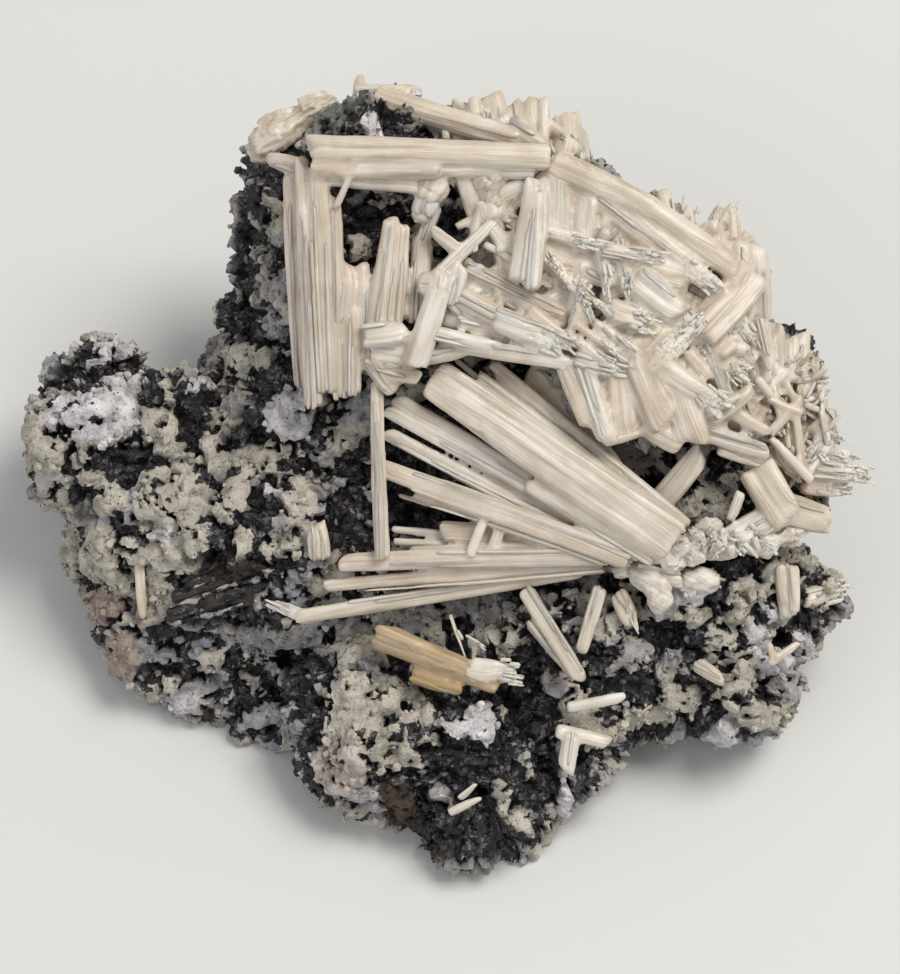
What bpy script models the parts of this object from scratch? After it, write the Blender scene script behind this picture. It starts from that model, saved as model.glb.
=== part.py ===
"""A cerussite crystal cluster on a loose block of galena and baryte.

The block stands on a flat broken base at z = 0, with the origin in that base. Its crystal face
leans back, and everything on that face is laid out as it is seen from straight in front of it:
(across, up, out) in millimetres, where out is towards the eye. seen() turns such a point into
the block's own frame, +Z up, in metres.
"""

import math
from collections import namedtuple

import bmesh
import bpy
from mathutils import Matrix, Vector, noise

MM = 0.001

# Driving dimensions, in millimetres and degrees
FACE_SLOPE = math.radians(60.0)  # the crystal face looks this far above the horizon
FACE_HEIGHT = 28.0  # the middle of the face above the base
EYE = 450.0  # from the eye to the middle of the face, which sets how sight lines converge
GAP = 0.3  # between one mineral body and the next
BODY_GRAIN = 1.3  # size of the smallest form kept in the block
BODY_FACES = 2150  # facets of the block before the crystals are let into it
BROAD = 2.8  # crystals at least this wide have six sides, the others four
TIP_SLOPE = 0.28  # of the end face, as a part of the crystal's width
TIP_THICKNESS = 0.86  # of the tip, as a part of the foot's
ROUGHNESS = 1.5  # height of the block's lumps and hollows
LUMP_SPACING = 8.0  # and their distance apart

OUT = Vector((0.0, -math.cos(FACE_SLOPE), math.sin(FACE_SLOPE)))
UP = Vector((0.0, math.sin(FACE_SLOPE), math.cos(FACE_SLOPE)))
ACROSS = Vector((1.0, 0.0, 0.0))

BROAD_SECTION = ((1, 0), (0.62, 1), (-0.62, 1), (-1, 0), (-0.62, -1), (0.62, -1))
SLIM_SECTION = ((1, -0.9), (0.9, 1), (-1, 0.9), (-0.9, -1))

# A crystal: a flattened prism from its foot to its tip
Lath = namedtuple("Lath", "foot tip wide thick turn", defaults=(0.0,))
# A rounded mass: half sizes across, up and out, rolled about the line of sight
Lump = namedtuple("Lump", "centre half roll", defaults=(0.0,))

BODY = (
    Lump((4, 10, -27), (27, 22, 21)),
    Lump((-11, 24, -13), (11, 15, 13), 4),
    Lump((-18, 31, -16), (5.8, 8.5, 12)),
    Lump((-24, 18.5, -14), (2.6, 2.6, 3)),
    Lump((-8.5, 38, -5), (6.8, 6.2, 7)),
    Lump((8, 30, -12), (15, 9, 11), -20),
    Lump((22, 22, -12), (12, 8.5, 11), -42),
    Lump((28, 8, -15), (12, 15, 13), 8),
    Lump((36, 1, -13), (5.5, 6, 8)),
    Lump((27, -10, -13), (13, 11, 11.5)),
    Lump((38, -13, -12), (5.5, 6, 7)),
    Lump((31, -22, -10), (7.4, 7.0, 7.5), -8),
    Lump((24, -20, -11), (7.5, 8.2, 8)),
    Lump((13.5, -17, -10.5), (11.5, 9.5, 10)),
    Lump((2.4, -28, -9), (9.2, 11, 9.5)),
    Lump((3.2, -34.3, -8), (10.2, 7.8, 7.5)),
    Lump((-6.8, -27.4, -10), (12.5, 10.2, 9), -36),
    Lump((-3, -10, -15), (16, 9, 10)),
    Lump((-17, -6, -13.5), (13, 11, 11.5)),
    Lump((-17, 8, -15), (8, 10, 12)),
    Lump((-29, -3, -17), (12.5, 11, 11)),
    Lump((-38.8, 3.8, -16), (8.6, 8.6, 8)),
    Lump((-38.5, 11.8, -19), (6.2, 5, 6), 12),
    Lump((-30, 8.6, -17), (6, 5.5, 8)),
    Lump((-43.8, 5.2, -16.5), (3.6, 4, 5.5)),
    Lump((-36.6, -6.6, -20), (6, 5.6, 8), 20),
    Lump((-28.6, -15.6, -19), (11.6, 9.2, 9.5), -14),
    Lump((-20.5, -22.2, -21), (13, 7.6, 9), -22),
    Lump((-24.5, -11.5, -9.5), (6.5, 3.0, 4), 18),
)

# The hidden back of the block, in the block's own frame
BACK = (
    Lump((-2, 20, 14), (27, 17, 20)),
    Lump((-12, 30, 26), (12, 8, 17)),
    Lump((14, 26, 22), (14, 10, 15)),
    Lump((26, 10, 14), (11, 14, 13)),
    Lump((-24, 6, 8), (12, 14, 11)),
    Lump((2, -14, 6), (20, 16, 9)),
    Lump((0, 3, 6), (22, 17, 12)),
)

FAN = (
    # the broad blades, side by side
    Lath((24.6, -6.1, 4.0), (-2.1, 12.2, 1.5), 5.4, 1.9),
    Lath((25.9, -4.6, 3.2), (4.9, 12.9, -0.4), 2.3, 1.6),
    Lath((24.9, -5.2, 3.9), (3.0, 12.0, 0.8), 2.4, 1.4),
    Lath((13.4, 5.9, 1.3), (4.4, 13.6, -0.2), 1.3, 1.0),
    Lath((14.0, 3.0, 2.0), (0.4, 14.2, -0.4), 0.9, 0.9),
    # the striated blades under them
    Lath((22.3, -7.9, 3.4), (8.3, 0.4, 1.9), 1.9, 1.4),
    Lath((22.0, -7.2, 2.2), (-6.2, 9.8, -1.0), 1.9, 1.2),
    Lath((21.0, -7.6, 2.0), (-7.3, 8.5, -0.4), 1.7, 1.0),
    Lath((20.0, -8.0, 1.6), (-7.3, 6.1, -0.6), 1.9, 1.0),
    Lath((19.5, -8.0, 3.0), (-7.9, 2.2, 1.2), 2.4, 1.8),
    Lath((17.0, -7.7, 2.4), (-3.7, -0.5, 0.8), 1.9, 1.4),
    Lath((10.0, -4.8, 0.6), (-5.8, -0.9, -1.0), 0.8, 0.8),
    # the level blades along the bottom
    Lath((14.0, -6.6, -0.6), (-6.5, -4.6, -1.8), 1.0, 0.9),
    Lath((14.0, -7.0, 0.0), (-6.3, -6.0, -1.4), 0.9, 0.9),
    Lath((15.5, -6.3, 0.6), (-1.1, -5.0, -0.4), 3.2, 1.3),
    Lath((17.3, -7.6, 2.2), (-12.3, -8.3, 1.0), 2.2, 1.6),
    Lath((16.2, -6.9, 1.6), (-4.5, -7.1, 0.6), 1.5, 1.3),
    Lath((16.8, -8.7, 1.2), (-14.0, -10.9, -0.6), 1.7, 1.4),
    Lath((14.5, -9.1, 0.6), (-17.0, -14.3, -1.2), 1.8, 1.3),
    Lath((-15.3, -14.5, -1.2), (-19.6, -12.7, -2.0), 1.5, 1.0),
    # the slender cross laths
    Lath((-7.4, -7.9, 2.6), (-8.1, 11.9, 2.4), 1.7, 1.2),
    Lath((2.1, -7.7, 2.4), (4.1, -2.6, 2.2), 1.2, 0.9),
    Lath((4.6, -7.0, 1.6), (6.0, -3.2, 1.8), 1.4, 0.9),
    # the blades seen between the fan and the crowd above it
    Lath((17.0, 2.0, 0.4), (8.6, 12.9, -2.4), 3.4, 1.6),
    Lath((19.0, 0.5, 1.0), (11.5, 11.0, -1.4), 2.4, 1.5),
)

COLUMNS = (
    # the upright columns
    Lath((-16.2, 11.0, 1.0), (-17.7, 34.6, 1.2), 1.9, 2.4),
    Lath((-15.0, 8.8, 2.6), (-16.3, 36.0, 3.2), 2.1, 2.4),
    Lath((-13.5, 10.5, 2.8), (-14.5, 35.8, 3.8), 2.4, 2.4),
    Lath((-12.4, 18.0, 2.6), (-12.8, 32.0, 3.2), 1.8, 2.0),
    Lath((-12.1, 9.8, 2.4), (-12.2, 20.4, 2.6), 1.7, 1.9),
    Lath((-10.7, 10.2, 3.0), (-10.6, 20.1, 3.0), 1.8, 2.0),
    Lath((-11.7, 18.5, 2.4), (-11.2, 24.6, 2.4), 2.9, 2.0),
    Lath((-9.4, 14.0, 2.6), (-9.6, 24.8, 2.4), 1.8, 1.8),
    Lath((-8.4, 15.5, 3.2), (-6.4, 29.8, 2.8), 2.1, 1.9),
    Lath((-6.4, 16.5, 3.0), (-5.1, 28.9, 2.8), 1.9, 1.7),
    Lath((-9.4, 16.6, 4.0), (-4.4, 17.1, 4.2), 2.7, 2.2),
    Lath((-8.6, 14.2, 3.4), (-6.0, 10.4, 2.9), 2.7, 1.5),
    Lath((-8.0, 13.2, 3.2), (-3.2, 11.9, 3.2), 2.0, 1.5),
    Lath((-8.5, 15.0, 3.0), (-3.4, 14.2, 3.4), 2.6, 2.0),
    # the cross beam
    Lath((11.0, 36.2, 4.2), (-15.7, 37.4, 5.4), 2.9, 2.7),
    Lath((-1.2, 35.0, 4.6), (-15.4, 35.2, 4.8), 2.3, 2.6),
    Lath((-3.4, 33.0, 3.6), (-13.6, 33.7, 3.8), 1.5, 2.0),
    Lath((9.4, 34.8, 4.0), (-2.8, 35.1, 4.4), 1.9, 2.1),
    Lath((-12.6, 30.6, 4.4), (-10.2, 35.8, 6.2), 0.8, 0.8),
    Lath((-15.8, 35.0, 2.2), (-20.2, 36.2, 0.6), 2.0, 1.8),
    # the prisms that hang from the beam
    Lath((-1.2, 34.4, 3.4), (-3.2, 29.8, 2.6), 3.0, 2.2),
    Lath((-1.6, 31.0, 2.2), (-3.4, 26.0, 1.0), 1.7, 1.5),
    Lath((1.6, 34.8, 3.0), (3.5, 28.5, 2.0), 2.6, 2.0),
    Lath((4.2, 34.8, 3.4), (5.0, 31.4, 3.2), 3.2, 2.2),
    Lath((4.5, 32.6, 2.8), (5.9, 24.0, 1.8), 2.0, 1.8),
    # the pale cross in the middle
    Lath((-1.6, 23.0, 4.4), (4.9, 29.3, 3.6), 1.6, 1.4),
    Lath((1.6, 25.5, 4.2), (-2.2, 28.4, 3.4), 1.5, 1.2),
    Lath((-3.9, 13.4, 5.0), (-0.6, 23.6, 4.8), 2.8, 1.9),
    Lath((-0.2, 21.6, 4.6), (-3.5, 22.7, 4.2), 2.7, 1.7),
    Lath((0.2, 20.2, 4.4), (1.4, 24.3, 4.4), 1.9, 1.5),
    Lath((-3.6, 18.0, 2.0), (-3.0, 27.4, 0.8), 2.6, 2.0),
)

CROWD = (
    # the crust that the crowd of prisms stands on
    Lump((12, 25.5, 0.6), (9.5, 8.5, 3.6), -20),
    Lump((23, 20, 0.4), (10, 8.0, 3.8), -40),
    Lump((8, 18.5, 1.2), (8.5, 4.0, 3.0), -25),
    Lump((20, 12, 1.2), (8, 7.0, 3.6), -10),
    Lump((30, 12.5, -0.2), (6, 8.0, 3.4), 10),
    # the stepped uprights under the beam's end
    Lath((7.4, 22.6, 5.6), (9.2, 34.0, 4.4), 2.2, 2.2),
    Lath((9.0, 21.7, 5.8), (10.0, 33.0, 4.8), 2.0, 2.2),
    Lath((11.4, 28.6, 3.4), (11.8, 35.0, 3.8), 3.3, 2.6),
    Lath((12.6, 27.0, 3.2), (12.7, 33.2, 3.8), 1.9, 2.0),
    Lath((14.2, 26.0, 3.8), (15.3, 32.2, 4.2), 2.5, 2.0),
    # the two long prisms that come down from the top
    Lath((11.4, 35.8, 3.6), (22.8, 30.3, 4.0), 3.0, 2.8),
    Lath((20.6, 31.4, 3.8), (31.6, 23.8, 2.8), 3.0, 2.8),
    Lath((13.6, 33.8, 3.2), (29.6, 21.6, 4.2), 2.8, 2.4),
    Lath((16.0, 31.4, 2.4), (21.4, 25.4, 2.8), 3.0, 2.0),
    # the weathered ledge and the dark face under it
    Lath((9.8, 28.4, 5.0), (17.6, 26.2, 5.6), 1.4, 1.4),
    Lath((10.4, 26.0, 3.4), (16.8, 23.0, 3.8), 4.8, 2.0),
    Lath((16.8, 26.2, 5.6), (23.2, 24.9, 5.2), 1.8, 1.6),
    Lath((16.5, 26.2, 4.8), (17.4, 21.6, 5.4), 1.3, 1.6),
    Lath((19.2, 24.8, 4.8), (19.4, 21.2, 5.4), 1.2, 1.6),
    Lath((17.8, 25.4, 4.0), (18.3, 21.8, 4.4), 2.8, 1.6),
    Lath((18.6, 25.2, 4.2), (25.8, 22.6, 4.0), 3.0, 2.2),
    Lath((20.4, 22.8, 4.4), (25.4, 18.8, 4.6), 3.5, 3.0),
    Lath((27.6, 16.6, 4.4), (34.0, 23.2, 1.8), 3.7, 3.0),
    Lath((28.0, 19.2, 3.4), (32.8, 24.6, 1.6), 2.2, 2.0),
    # the right shoulder
    Lath((34.2, 18.0, -0.8), (34.0, 26.6, -0.8), 2.5, 2.8),
    Lath((32.6, 18.6, 0.2), (31.9, 27.2, -0.4), 2.8, 3.0),
    Lath((25.9, 27.0, 0.0), (26.4, 31.0, -2.0), 1.9, 1.7),
    Lath((31.2, 26.0, -0.6), (31.1, 31.3, -2.4), 1.5, 1.6),
    Lath((29.4, 25.0, 0.8), (28.6, 29.2, -0.6), 2.9, 2.2),
    Lath((28.8, 28.0, -1.0), (29.8, 30.9, -2.2), 1.7, 1.5),
    Lath((24.4, 27.2, 1.6), (23.4, 32.8, 0.0), 2.0, 1.8),
    # the splintered laths in the middle
    Lath((15.2, 20.4, 5.4), (10.2, 25.9, 4.8), 1.0, 1.0),
    Lath((13.3, 17.3, 5.2), (14.8, 22.6, 5.6), 1.1, 1.0),
    Lath((19.0, 18.0, 5.2), (14.6, 21.5, 5.6), 1.0, 1.0),
    Lath((1.8, 24.2, 3.4), (12.8, 19.0, 4.2), 1.8, 1.6),
    Lath((3.0, 23.2, 2.8), (13.0, 17.8, 3.6), 2.2, 1.8),
    Lath((0.9, 21.0, 4.0), (9.4, 16.6, 4.8), 2.3, 1.8),
    Lath((-0.8, 18.8, 2.6), (6.4, 17.0, 3.2), 2.6, 2.0),
    Lath((-2.3, 17.1, 4.6), (5.2, 15.4, 4.8), 1.7, 1.6),
    Lath((1.2, 15.6, 4.0), (13.2, 13.6, 5.0), 1.9, 1.7),
    Lath((-3.2, 14.3, 3.4), (2.0, 15.2, 3.6), 2.0, 1.6),
    Lath((5.0, 18.6, 4.6), (12.6, 15.6, 5.4), 2.9, 1.8),
    Lath((8.6, 19.6, 4.8), (13.6, 15.4, 5.6), 1.5, 1.4),
    Lath((13.2, 18.4, 5.2), (18.6, 14.6, 5.6), 0.9, 1.0),
    Lath((12.4, 17.2, 5.0), (17.6, 13.6, 5.4), 0.9, 1.0),
    Lath((14.4, 19.2, 5.0), (19.6, 15.6, 5.4), 0.9, 1.0),
    # the stout prisms over the fan
    Lath((12.6, 13.8, 4.0), (15.2, 6.6, 4.8), 2.3, 2.2),
    Lath((14.6, 13.2, 4.2), (17.3, 4.9, 5.0), 2.5, 2.2),
    Lath((18.6, 15.0, 3.6), (18.9, 6.0, 4.2), 3.3, 2.2),
    Lath((16.8, 4.9, 4.8), (21.8, 6.1, 4.2), 1.2, 1.2),
    Lath((20.6, 14.0, 4.2), (23.6, 6.6, 4.6), 4.3, 2.8),
    Lath((25.2, 10.8, 4.0), (26.8, 4.8, 4.0), 3.9, 2.8),
    Lath((21.4, 6.9, 3.8), (25.4, 4.2, 3.8), 2.4, 2.0),
    Lath((22.4, 13.7, 5.0), (30.0, 8.6, 4.8), 2.9, 2.0),
    Lath((22.0, 13.0, 5.2), (27.6, 18.4, 5.4), 2.5, 1.6),
    Lath((19.6, 13.5, 4.2), (24.0, 17.6, 4.4), 3.2, 2.0),
    Lath((16.4, 16.8, 4.2), (21.0, 13.2, 4.4), 3.0, 2.0),
    Lath((13.8, 14.3, 4.8), (18.4, 12.6, 5.2), 2.1, 1.6),
    Lath((17.4, 19.8, 4.8), (22.0, 18.0, 5.0), 2.6, 1.6),
    Lath((26.0, 15.0, 4.2), (28.8, 11.8, 4.4), 1.4, 1.4),
    Lath((27.4, 15.2, 3.2), (31.8, 17.2, 2.4), 3.1, 2.2),
    Lath((28.4, 14.0, 3.4), (32.8, 12.6, 2.8), 1.9, 1.6),
    Lath((34.0, 10.4, 1.4), (32.3, 18.8, 0.8), 1.8, 1.8),
    Lath((35.0, 11.4, 0.6), (33.2, 18.6, 0.2), 1.3, 1.4),
    Lath((28.6, 7.4, 3.8), (33.4, 10.8, 3.4), 1.9, 1.5),
    Lath((28.2, 6.0, 2.8), (35.2, 3.8, 1.8), 2.1, 1.8),
    Lath((29.6, 4.4, 1.8), (34.8, 2.6, 1.0), 1.9, 1.6),
    Lath((30.6, 8.6, 2.6), (35.2, 5.8, 2.2), 1.6, 1.4),
)

NET = (
    # the crust that carries the net
    Lump((37.5, 6.5, -4.2), (4.6, 7.4, 3.6), 6),
    Lump((37.5, 14, -4.2), (3.2, 3.6, 2.8)),
    # the crossing laths
    Lath((39.8, 0.6, -0.6), (35.3, 5.4, 0.0), 1.1, 1.1),
    Lath((39.0, 1.0, -1.0), (42.2, 5.2, -3.0), 1.0, 1.1),
    Lath((38.9, 1.2, -1.2), (38.0, 8.8, -0.8), 1.0, 1.1),
    Lath((35.0, 5.8, -0.6), (38.8, 9.8, -0.8), 1.1, 1.1),
    Lath((34.8, 9.8, -0.4), (38.9, 8.0, -0.6), 0.9, 1.0),
    Lath((36.6, 6.8, -0.6), (35.4, 11.6, -0.8), 0.9, 1.0),
    Lath((37.2, 12.8, -1.6), (33.9, 10.2, -0.4), 1.0, 1.0),
    Lath((35.0, 13.2, -1.2), (41.2, 10.6, -3.0), 1.3, 1.2),
    Lath((38.6, 8.2, -1.0), (36.4, 12.4, -1.4), 0.9, 1.0),
    Lath((37.9, 9.2, -1.0), (40.2, 12.0, -2.6), 1.0, 1.0),
    Lath((39.8, 10.2, -2.4), (42.4, 6.3, -4.2), 1.7, 1.4),
    Lath((41.2, 8.4, -3.2), (40.0, 3.4, -2.2), 1.3, 1.2),
    Lath((36.8, 7.4, -2.0), (38.0, 3.0, -2.0), 1.5, 1.2),
    Lath((35.4, 4.8, -1.4), (38.6, 0.6, -1.8), 1.6, 1.3),
    # the fins above it
    Lath((37.6, 12.4, -2.6), (38.3, 16.9, -3.6), 3.4, 1.6),
    Lath((36.2, 13.0, -2.2), (35.8, 17.8, -2.6), 2.2, 1.8),
    # the splintered spike on the right
    Lath((39.4, 2.0, -2.4), (46.2, 1.2, -5.0), 2.2, 2.4),
    Lath((39.6, 4.0, -2.6), (44.4, 2.9, -5.0), 1.9, 2.0),
    Lath((38.6, 0.0, -2.4), (44.2, -0.4, -5.2), 1.6, 1.8),
)

RIGHT_PRISMS = (
    # the smooth stout prism and the striated one beside it
    Lath((33.6, 2.2, -0.4), (37.2, -4.0, 0.2), 4.3, 3.6),
    Lath((37.0, -2.4, -1.2), (29.2, -6.8, 0.8), 3.3, 3.0),
    Lath((36.4, -2.2, -2.0), (41.6, -3.8, -4.6), 3.6, 3.6),
)

CREST = (
    # the crust behind the top edge
    Lump((5.5, 38.2, -2.4), (8.0, 3.4, 3.2), -12),
    Lath((-8.2, 42.9, -2.0), (8.4, 37.9, 0.4), 2.9, 2.6),
    Lath((-2.4, 40.0, -2.2), (5.0, 37.9, -1.4), 1.7, 1.8),
    Lath((-10.0, 42.6, -3.4), (-9.9, 45.3, -4.6), 1.6, 1.6),
    Lath((-10.6, 43.2, -4.0), (-3.0, 43.6, -3.6), 1.8, 2.0),
    Lath((5.2, 39.6, -1.6), (4.6, 43.2, -3.0), 2.9, 2.2),
    Lath((7.4, 38.6, -1.0), (7.0, 42.4, -2.2), 2.0, 1.9),
    Lath((9.4, 37.4, -0.6), (9.2, 42.8, -2.2), 2.9, 2.2),
    Lath((10.3, 37.2, 0.4), (10.4, 43.0, -1.4), 1.2, 1.4),
    Lath((12.6, 36.4, -1.8), (12.6, 41.0, -3.4), 4.0, 2.6),
    Lath((14.6, 35.6, -2.2), (14.3, 39.4, -3.6), 1.8, 2.2),
    Lath((6.6, 39.8, 0.2), (10.4, 37.2, 1.2), 2.0, 1.8),
)

LEFT_CREST = (
    Lump((-18.4, 39.0, -8.4), (4.0, 2.4, 3.0), 28),
    Lump((-14.4, 41.2, -8.4), (3.0, 2.0, 2.8), 20),
    Lath((-21.4, 37.8, -8.6), (-14.0, 41.8, -8.2), 2.4, 2.6),
    Lath((-18.8, 38.2, -7.6), (-15.2, 42.4, -8.4), 1.8, 2.0),
)

KNOB = (
    Lump((23.2, -12.3, 1.0), (1.7, 1.7, 1.6)),
    Lump((22.4, -10.2, 0.6), (2.4, 1.5, 1.6), -30),
    Lump((27.2, -10.6, -0.2), (2.4, 2.2, 1.8)),
    Lath((20.6, -9.3, 0.6), (25.6, -10.4, 0.4), 2.0, 1.6),
)

GOLDEN_BLADES = (
    Lath((-8.2, -16.3, -1.4), (5.4, -21.9, 1.0), 2.9, 1.9),
    Lath((-4.2, -20.6, -0.8), (1.4, -22.5, 0.6), 1.8, 1.6),
    Lath((2.2, -20.0, 0.6), (7.4, -20.6, 1.0), 2.8, 1.8),
    Lath((-6.6, -15.8, -1.8), (0.4, -19.2, -0.2), 1.4, 1.4),
)

WEDGE_PRISM = (
    Lath((8.2, -11.2, 0.2), (14.6, -21.4, 1.6), 1.9, 2.0),
    Lath((8.9, -14.6, 0.0), (14.2, -21.0, 0.8), 1.8, 1.6),
)

# The single crystals that stand apart on the lower half of the face
SINGLES = {
    "slanting_lath": (Lath((16.5, -11.0, 0.2), (14.4, -18.4, 0.4), 1.7, 1.3),),
    "grey_lath": (Lath((18.5, -11.6, -0.4), (20.1, -15.2, 0.2), 2.1, 1.4),),
    "level_lath": (Lath((12.8, -24.3, 0.2), (19.4, -23.0, 0.8), 1.3, 1.2),),
    "short_prism": (Lath((27.0, -19.4, -1.6), (30.2, -21.4, -0.6), 1.7, 1.5),),
    "shaded_prism": (Lath((37.0, -8.6, -4.0), (37.4, -14.4, -3.6), 2.8, 2.4),),
    "right_spike": (Lath((38.8, -12.4, -6.2), (43.4, -11.2, -7.4), 2.5, 2.4),),
    "tilted_blade": (Lath((23.2, -1.6, -0.6), (27.8, 3.9, 1.0), 2.9, 1.5),),
    "striated_stub": (Lath((-14.3, -8.0, -0.6), (-14.7, -4.0, -0.8), 2.6, 1.5),),
    "pale_point": (
        Lath((13.4, -27.2, 0.0), (12.7, -31.4, 0.4), 2.0, 1.6),
        Lath((11.6, -26.8, -0.2), (17.6, -28.2, -1.2), 1.6, 1.5),
    ),
    "left_needle": (Lath((-34.2, -8.0, -9.2), (-33.8, -14.6, -9.8), 1.2, 1.2),),
    "lower_needle": (Lath((-0.2, -35.9, -0.4), (3.6, -34.1, 0.2), 1.0, 1.0),),
}

GROUPS = {
    "crystal_crowd": CROWD,
    "corner_columns": COLUMNS,
    "crystal_fan": FAN,
    "lath_net": NET,
    "right_prisms": RIGHT_PRISMS,
    "top_crest": CREST,
    "left_crest": LEFT_CREST,
    "white_knob": KNOB,
    "golden_blades": GOLDEN_BLADES,
    "wedge_prism": WEDGE_PRISM,
    **SINGLES,
}


def seen(across, up, out):
    """The point that lies this far out on the line of sight through (across, up) of the face."""
    nearer = (EYE - out) / EYE
    return (
        ACROSS * (across * nearer)
        + UP * (up * nearer)
        + OUT * out
        + Vector((0.0, 0.0, FACE_HEIGHT))
    )


def add_lath(mesh, lath, grow=0.0):
    """Adds one crystal: a prism whose broad side faces the eye, a little thinner at its tip."""
    foot = seen(*lath.foot)
    tip = seen(*lath.tip)
    along = (tip - foot).normalized()
    side = along.cross(OUT).normalized()
    side.rotate(Matrix.Rotation(math.radians(lath.turn), 3, along))
    face = along.cross(side)
    slope = TIP_SLOPE if lath.foot[0] < lath.tip[0] else -TIP_SLOPE
    section = BROAD_SECTION if lath.wide >= BROAD else SLIM_SECTION
    foot_ring = []
    tip_ring = []
    for x, y in section:
        across = side * x * (lath.wide / 2 + grow)
        through = face * y * (lath.thick / 2 + grow)
        further = along * (grow + slope * x * lath.wide / 2)
        foot_ring.append(mesh.verts.new(foot + across + through - along * grow))
        tip_ring.append(mesh.verts.new(tip + across + through * TIP_THICKNESS + further))
    mesh.faces.new(reversed(foot_ring))
    mesh.faces.new(tip_ring)
    for i, vert in enumerate(foot_ring):
        mesh.faces.new((vert, foot_ring[i - 1], tip_ring[i - 1], tip_ring[i]))
    bmesh.ops.recalc_face_normals(mesh, faces=mesh.faces)


def add_lump(mesh, lump, grow=0.0, subdivisions=1, on_face=True):
    """Adds one rounded mass, either on the crystal face or in the block's own frame."""
    made = bmesh.ops.create_icosphere(mesh, subdivisions=subdivisions, radius=1.0)["verts"]
    half = [size + grow for size in lump.half]
    axes = (ACROSS, UP, OUT) if on_face else (ACROSS, Vector((0, 1, 0)), Vector((0, 0, 1)))
    place = Matrix(axes).transposed().to_4x4()
    place.translation = seen(*lump.centre) if on_face else Vector(lump.centre)
    place = (
        place
        @ Matrix.Rotation(math.radians(lump.roll), 4, "Z")
        @ Matrix.Diagonal((*half, 1.0))
    )
    bmesh.ops.transform(mesh, matrix=place, verts=made)


def new_object(name, mesh_data, colour=None, roughness=0.5):
    """An object in the scene, with its own material if it is one of the part's pieces."""
    piece = bpy.data.objects.new(name, mesh_data)
    bpy.context.scene.collection.objects.link(piece)
    if colour:
        surface = bpy.data.materials.new(name)
        surface.use_nodes = True
        shader = surface.node_tree.nodes["Principled BSDF"]
        shader.inputs["Base Color"].default_value = (*colour, 1.0)
        shader.inputs["Roughness"].default_value = roughness
        piece.data.materials.append(surface)
    return piece


def helper(name, fill):
    """A hidden mesh in millimetres, filled by a function."""
    mesh = bmesh.new()
    fill(mesh)
    data = bpy.data.meshes.new(name)
    mesh.to_mesh(data)
    mesh.free()
    piece = new_object(name, data)
    piece.hide_render = True
    piece.display_type = "WIRE"
    return piece


def freeze(piece):
    """Applies an object's modifiers."""
    graph = bpy.context.evaluated_depsgraph_get()
    shaped = bpy.data.meshes.new_from_object(piece.evaluated_get(graph))
    piece.modifiers.clear()
    piece.data = shaped


def boxes_meet(piece, other):
    """Whether the bounding boxes of two objects overlap."""
    spans = []
    for corners in (piece.bound_box, other.bound_box):
        spans.append([(min(values), max(values)) for values in zip(*corners)])
    return all(a[0] < b[1] and b[0] < a[1] for a, b in zip(*spans))


def boolean(piece, others, operation):
    """Joins the others to an object, or cuts them out of it, and removes them."""
    if operation == "DIFFERENCE":
        away = [other for other in others if not boxes_meet(piece, other)]
        others = [other for other in others if other not in away]
        for other in away:
            bpy.data.objects.remove(other)
    gathered = bpy.data.collections.new("operands")
    bpy.context.scene.collection.children.link(gathered)
    for other in others:
        gathered.objects.link(other)
    cut = piece.modifiers.new(operation.lower(), "BOOLEAN")
    cut.operation = operation
    cut.solver = "EXACT"
    cut.operand_type = "COLLECTION"
    cut.collection = gathered
    freeze(piece)
    for other in others:
        bpy.data.objects.remove(other)
    bpy.data.collections.remove(gathered)


def keep_largest(piece):
    """Drops the chips that a cut leaves loose."""
    mesh = bmesh.new()
    mesh.from_mesh(piece.data)
    bodies = []
    waiting = set(mesh.verts)
    while waiting:
        body = {waiting.pop()}
        edge_of_body = list(body)
        while edge_of_body:
            for edge in edge_of_body.pop().link_edges:
                for vert in edge.verts:
                    if vert in waiting:
                        waiting.remove(vert)
                        body.add(vert)
                        edge_of_body.append(vert)
        bodies.append(body)
    bodies.sort(key=len)
    for body in bodies[:-1]:
        bmesh.ops.delete(mesh, geom=list(body), context="VERTS")
    mesh.to_mesh(piece.data)
    mesh.free()


def solid_forms(name, forms, grow=0.0):
    """Each crystal or mass of a group as a mesh of its own."""

    def fill_with(form):
        add = add_lath if isinstance(form, Lath) else add_lump
        return lambda mesh: add(mesh, form, grow)

    return [helper(f"{name}_{i}", fill_with(form)) for i, form in enumerate(forms)]


def grown_together(name, forms, grow=0.0):
    """A group's crystals and masses joined in one closed solid, still in millimetres."""
    first, *rest = solid_forms(name, forms, grow)
    if rest:
        boolean(first, rest, "UNION")
    return first


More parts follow.
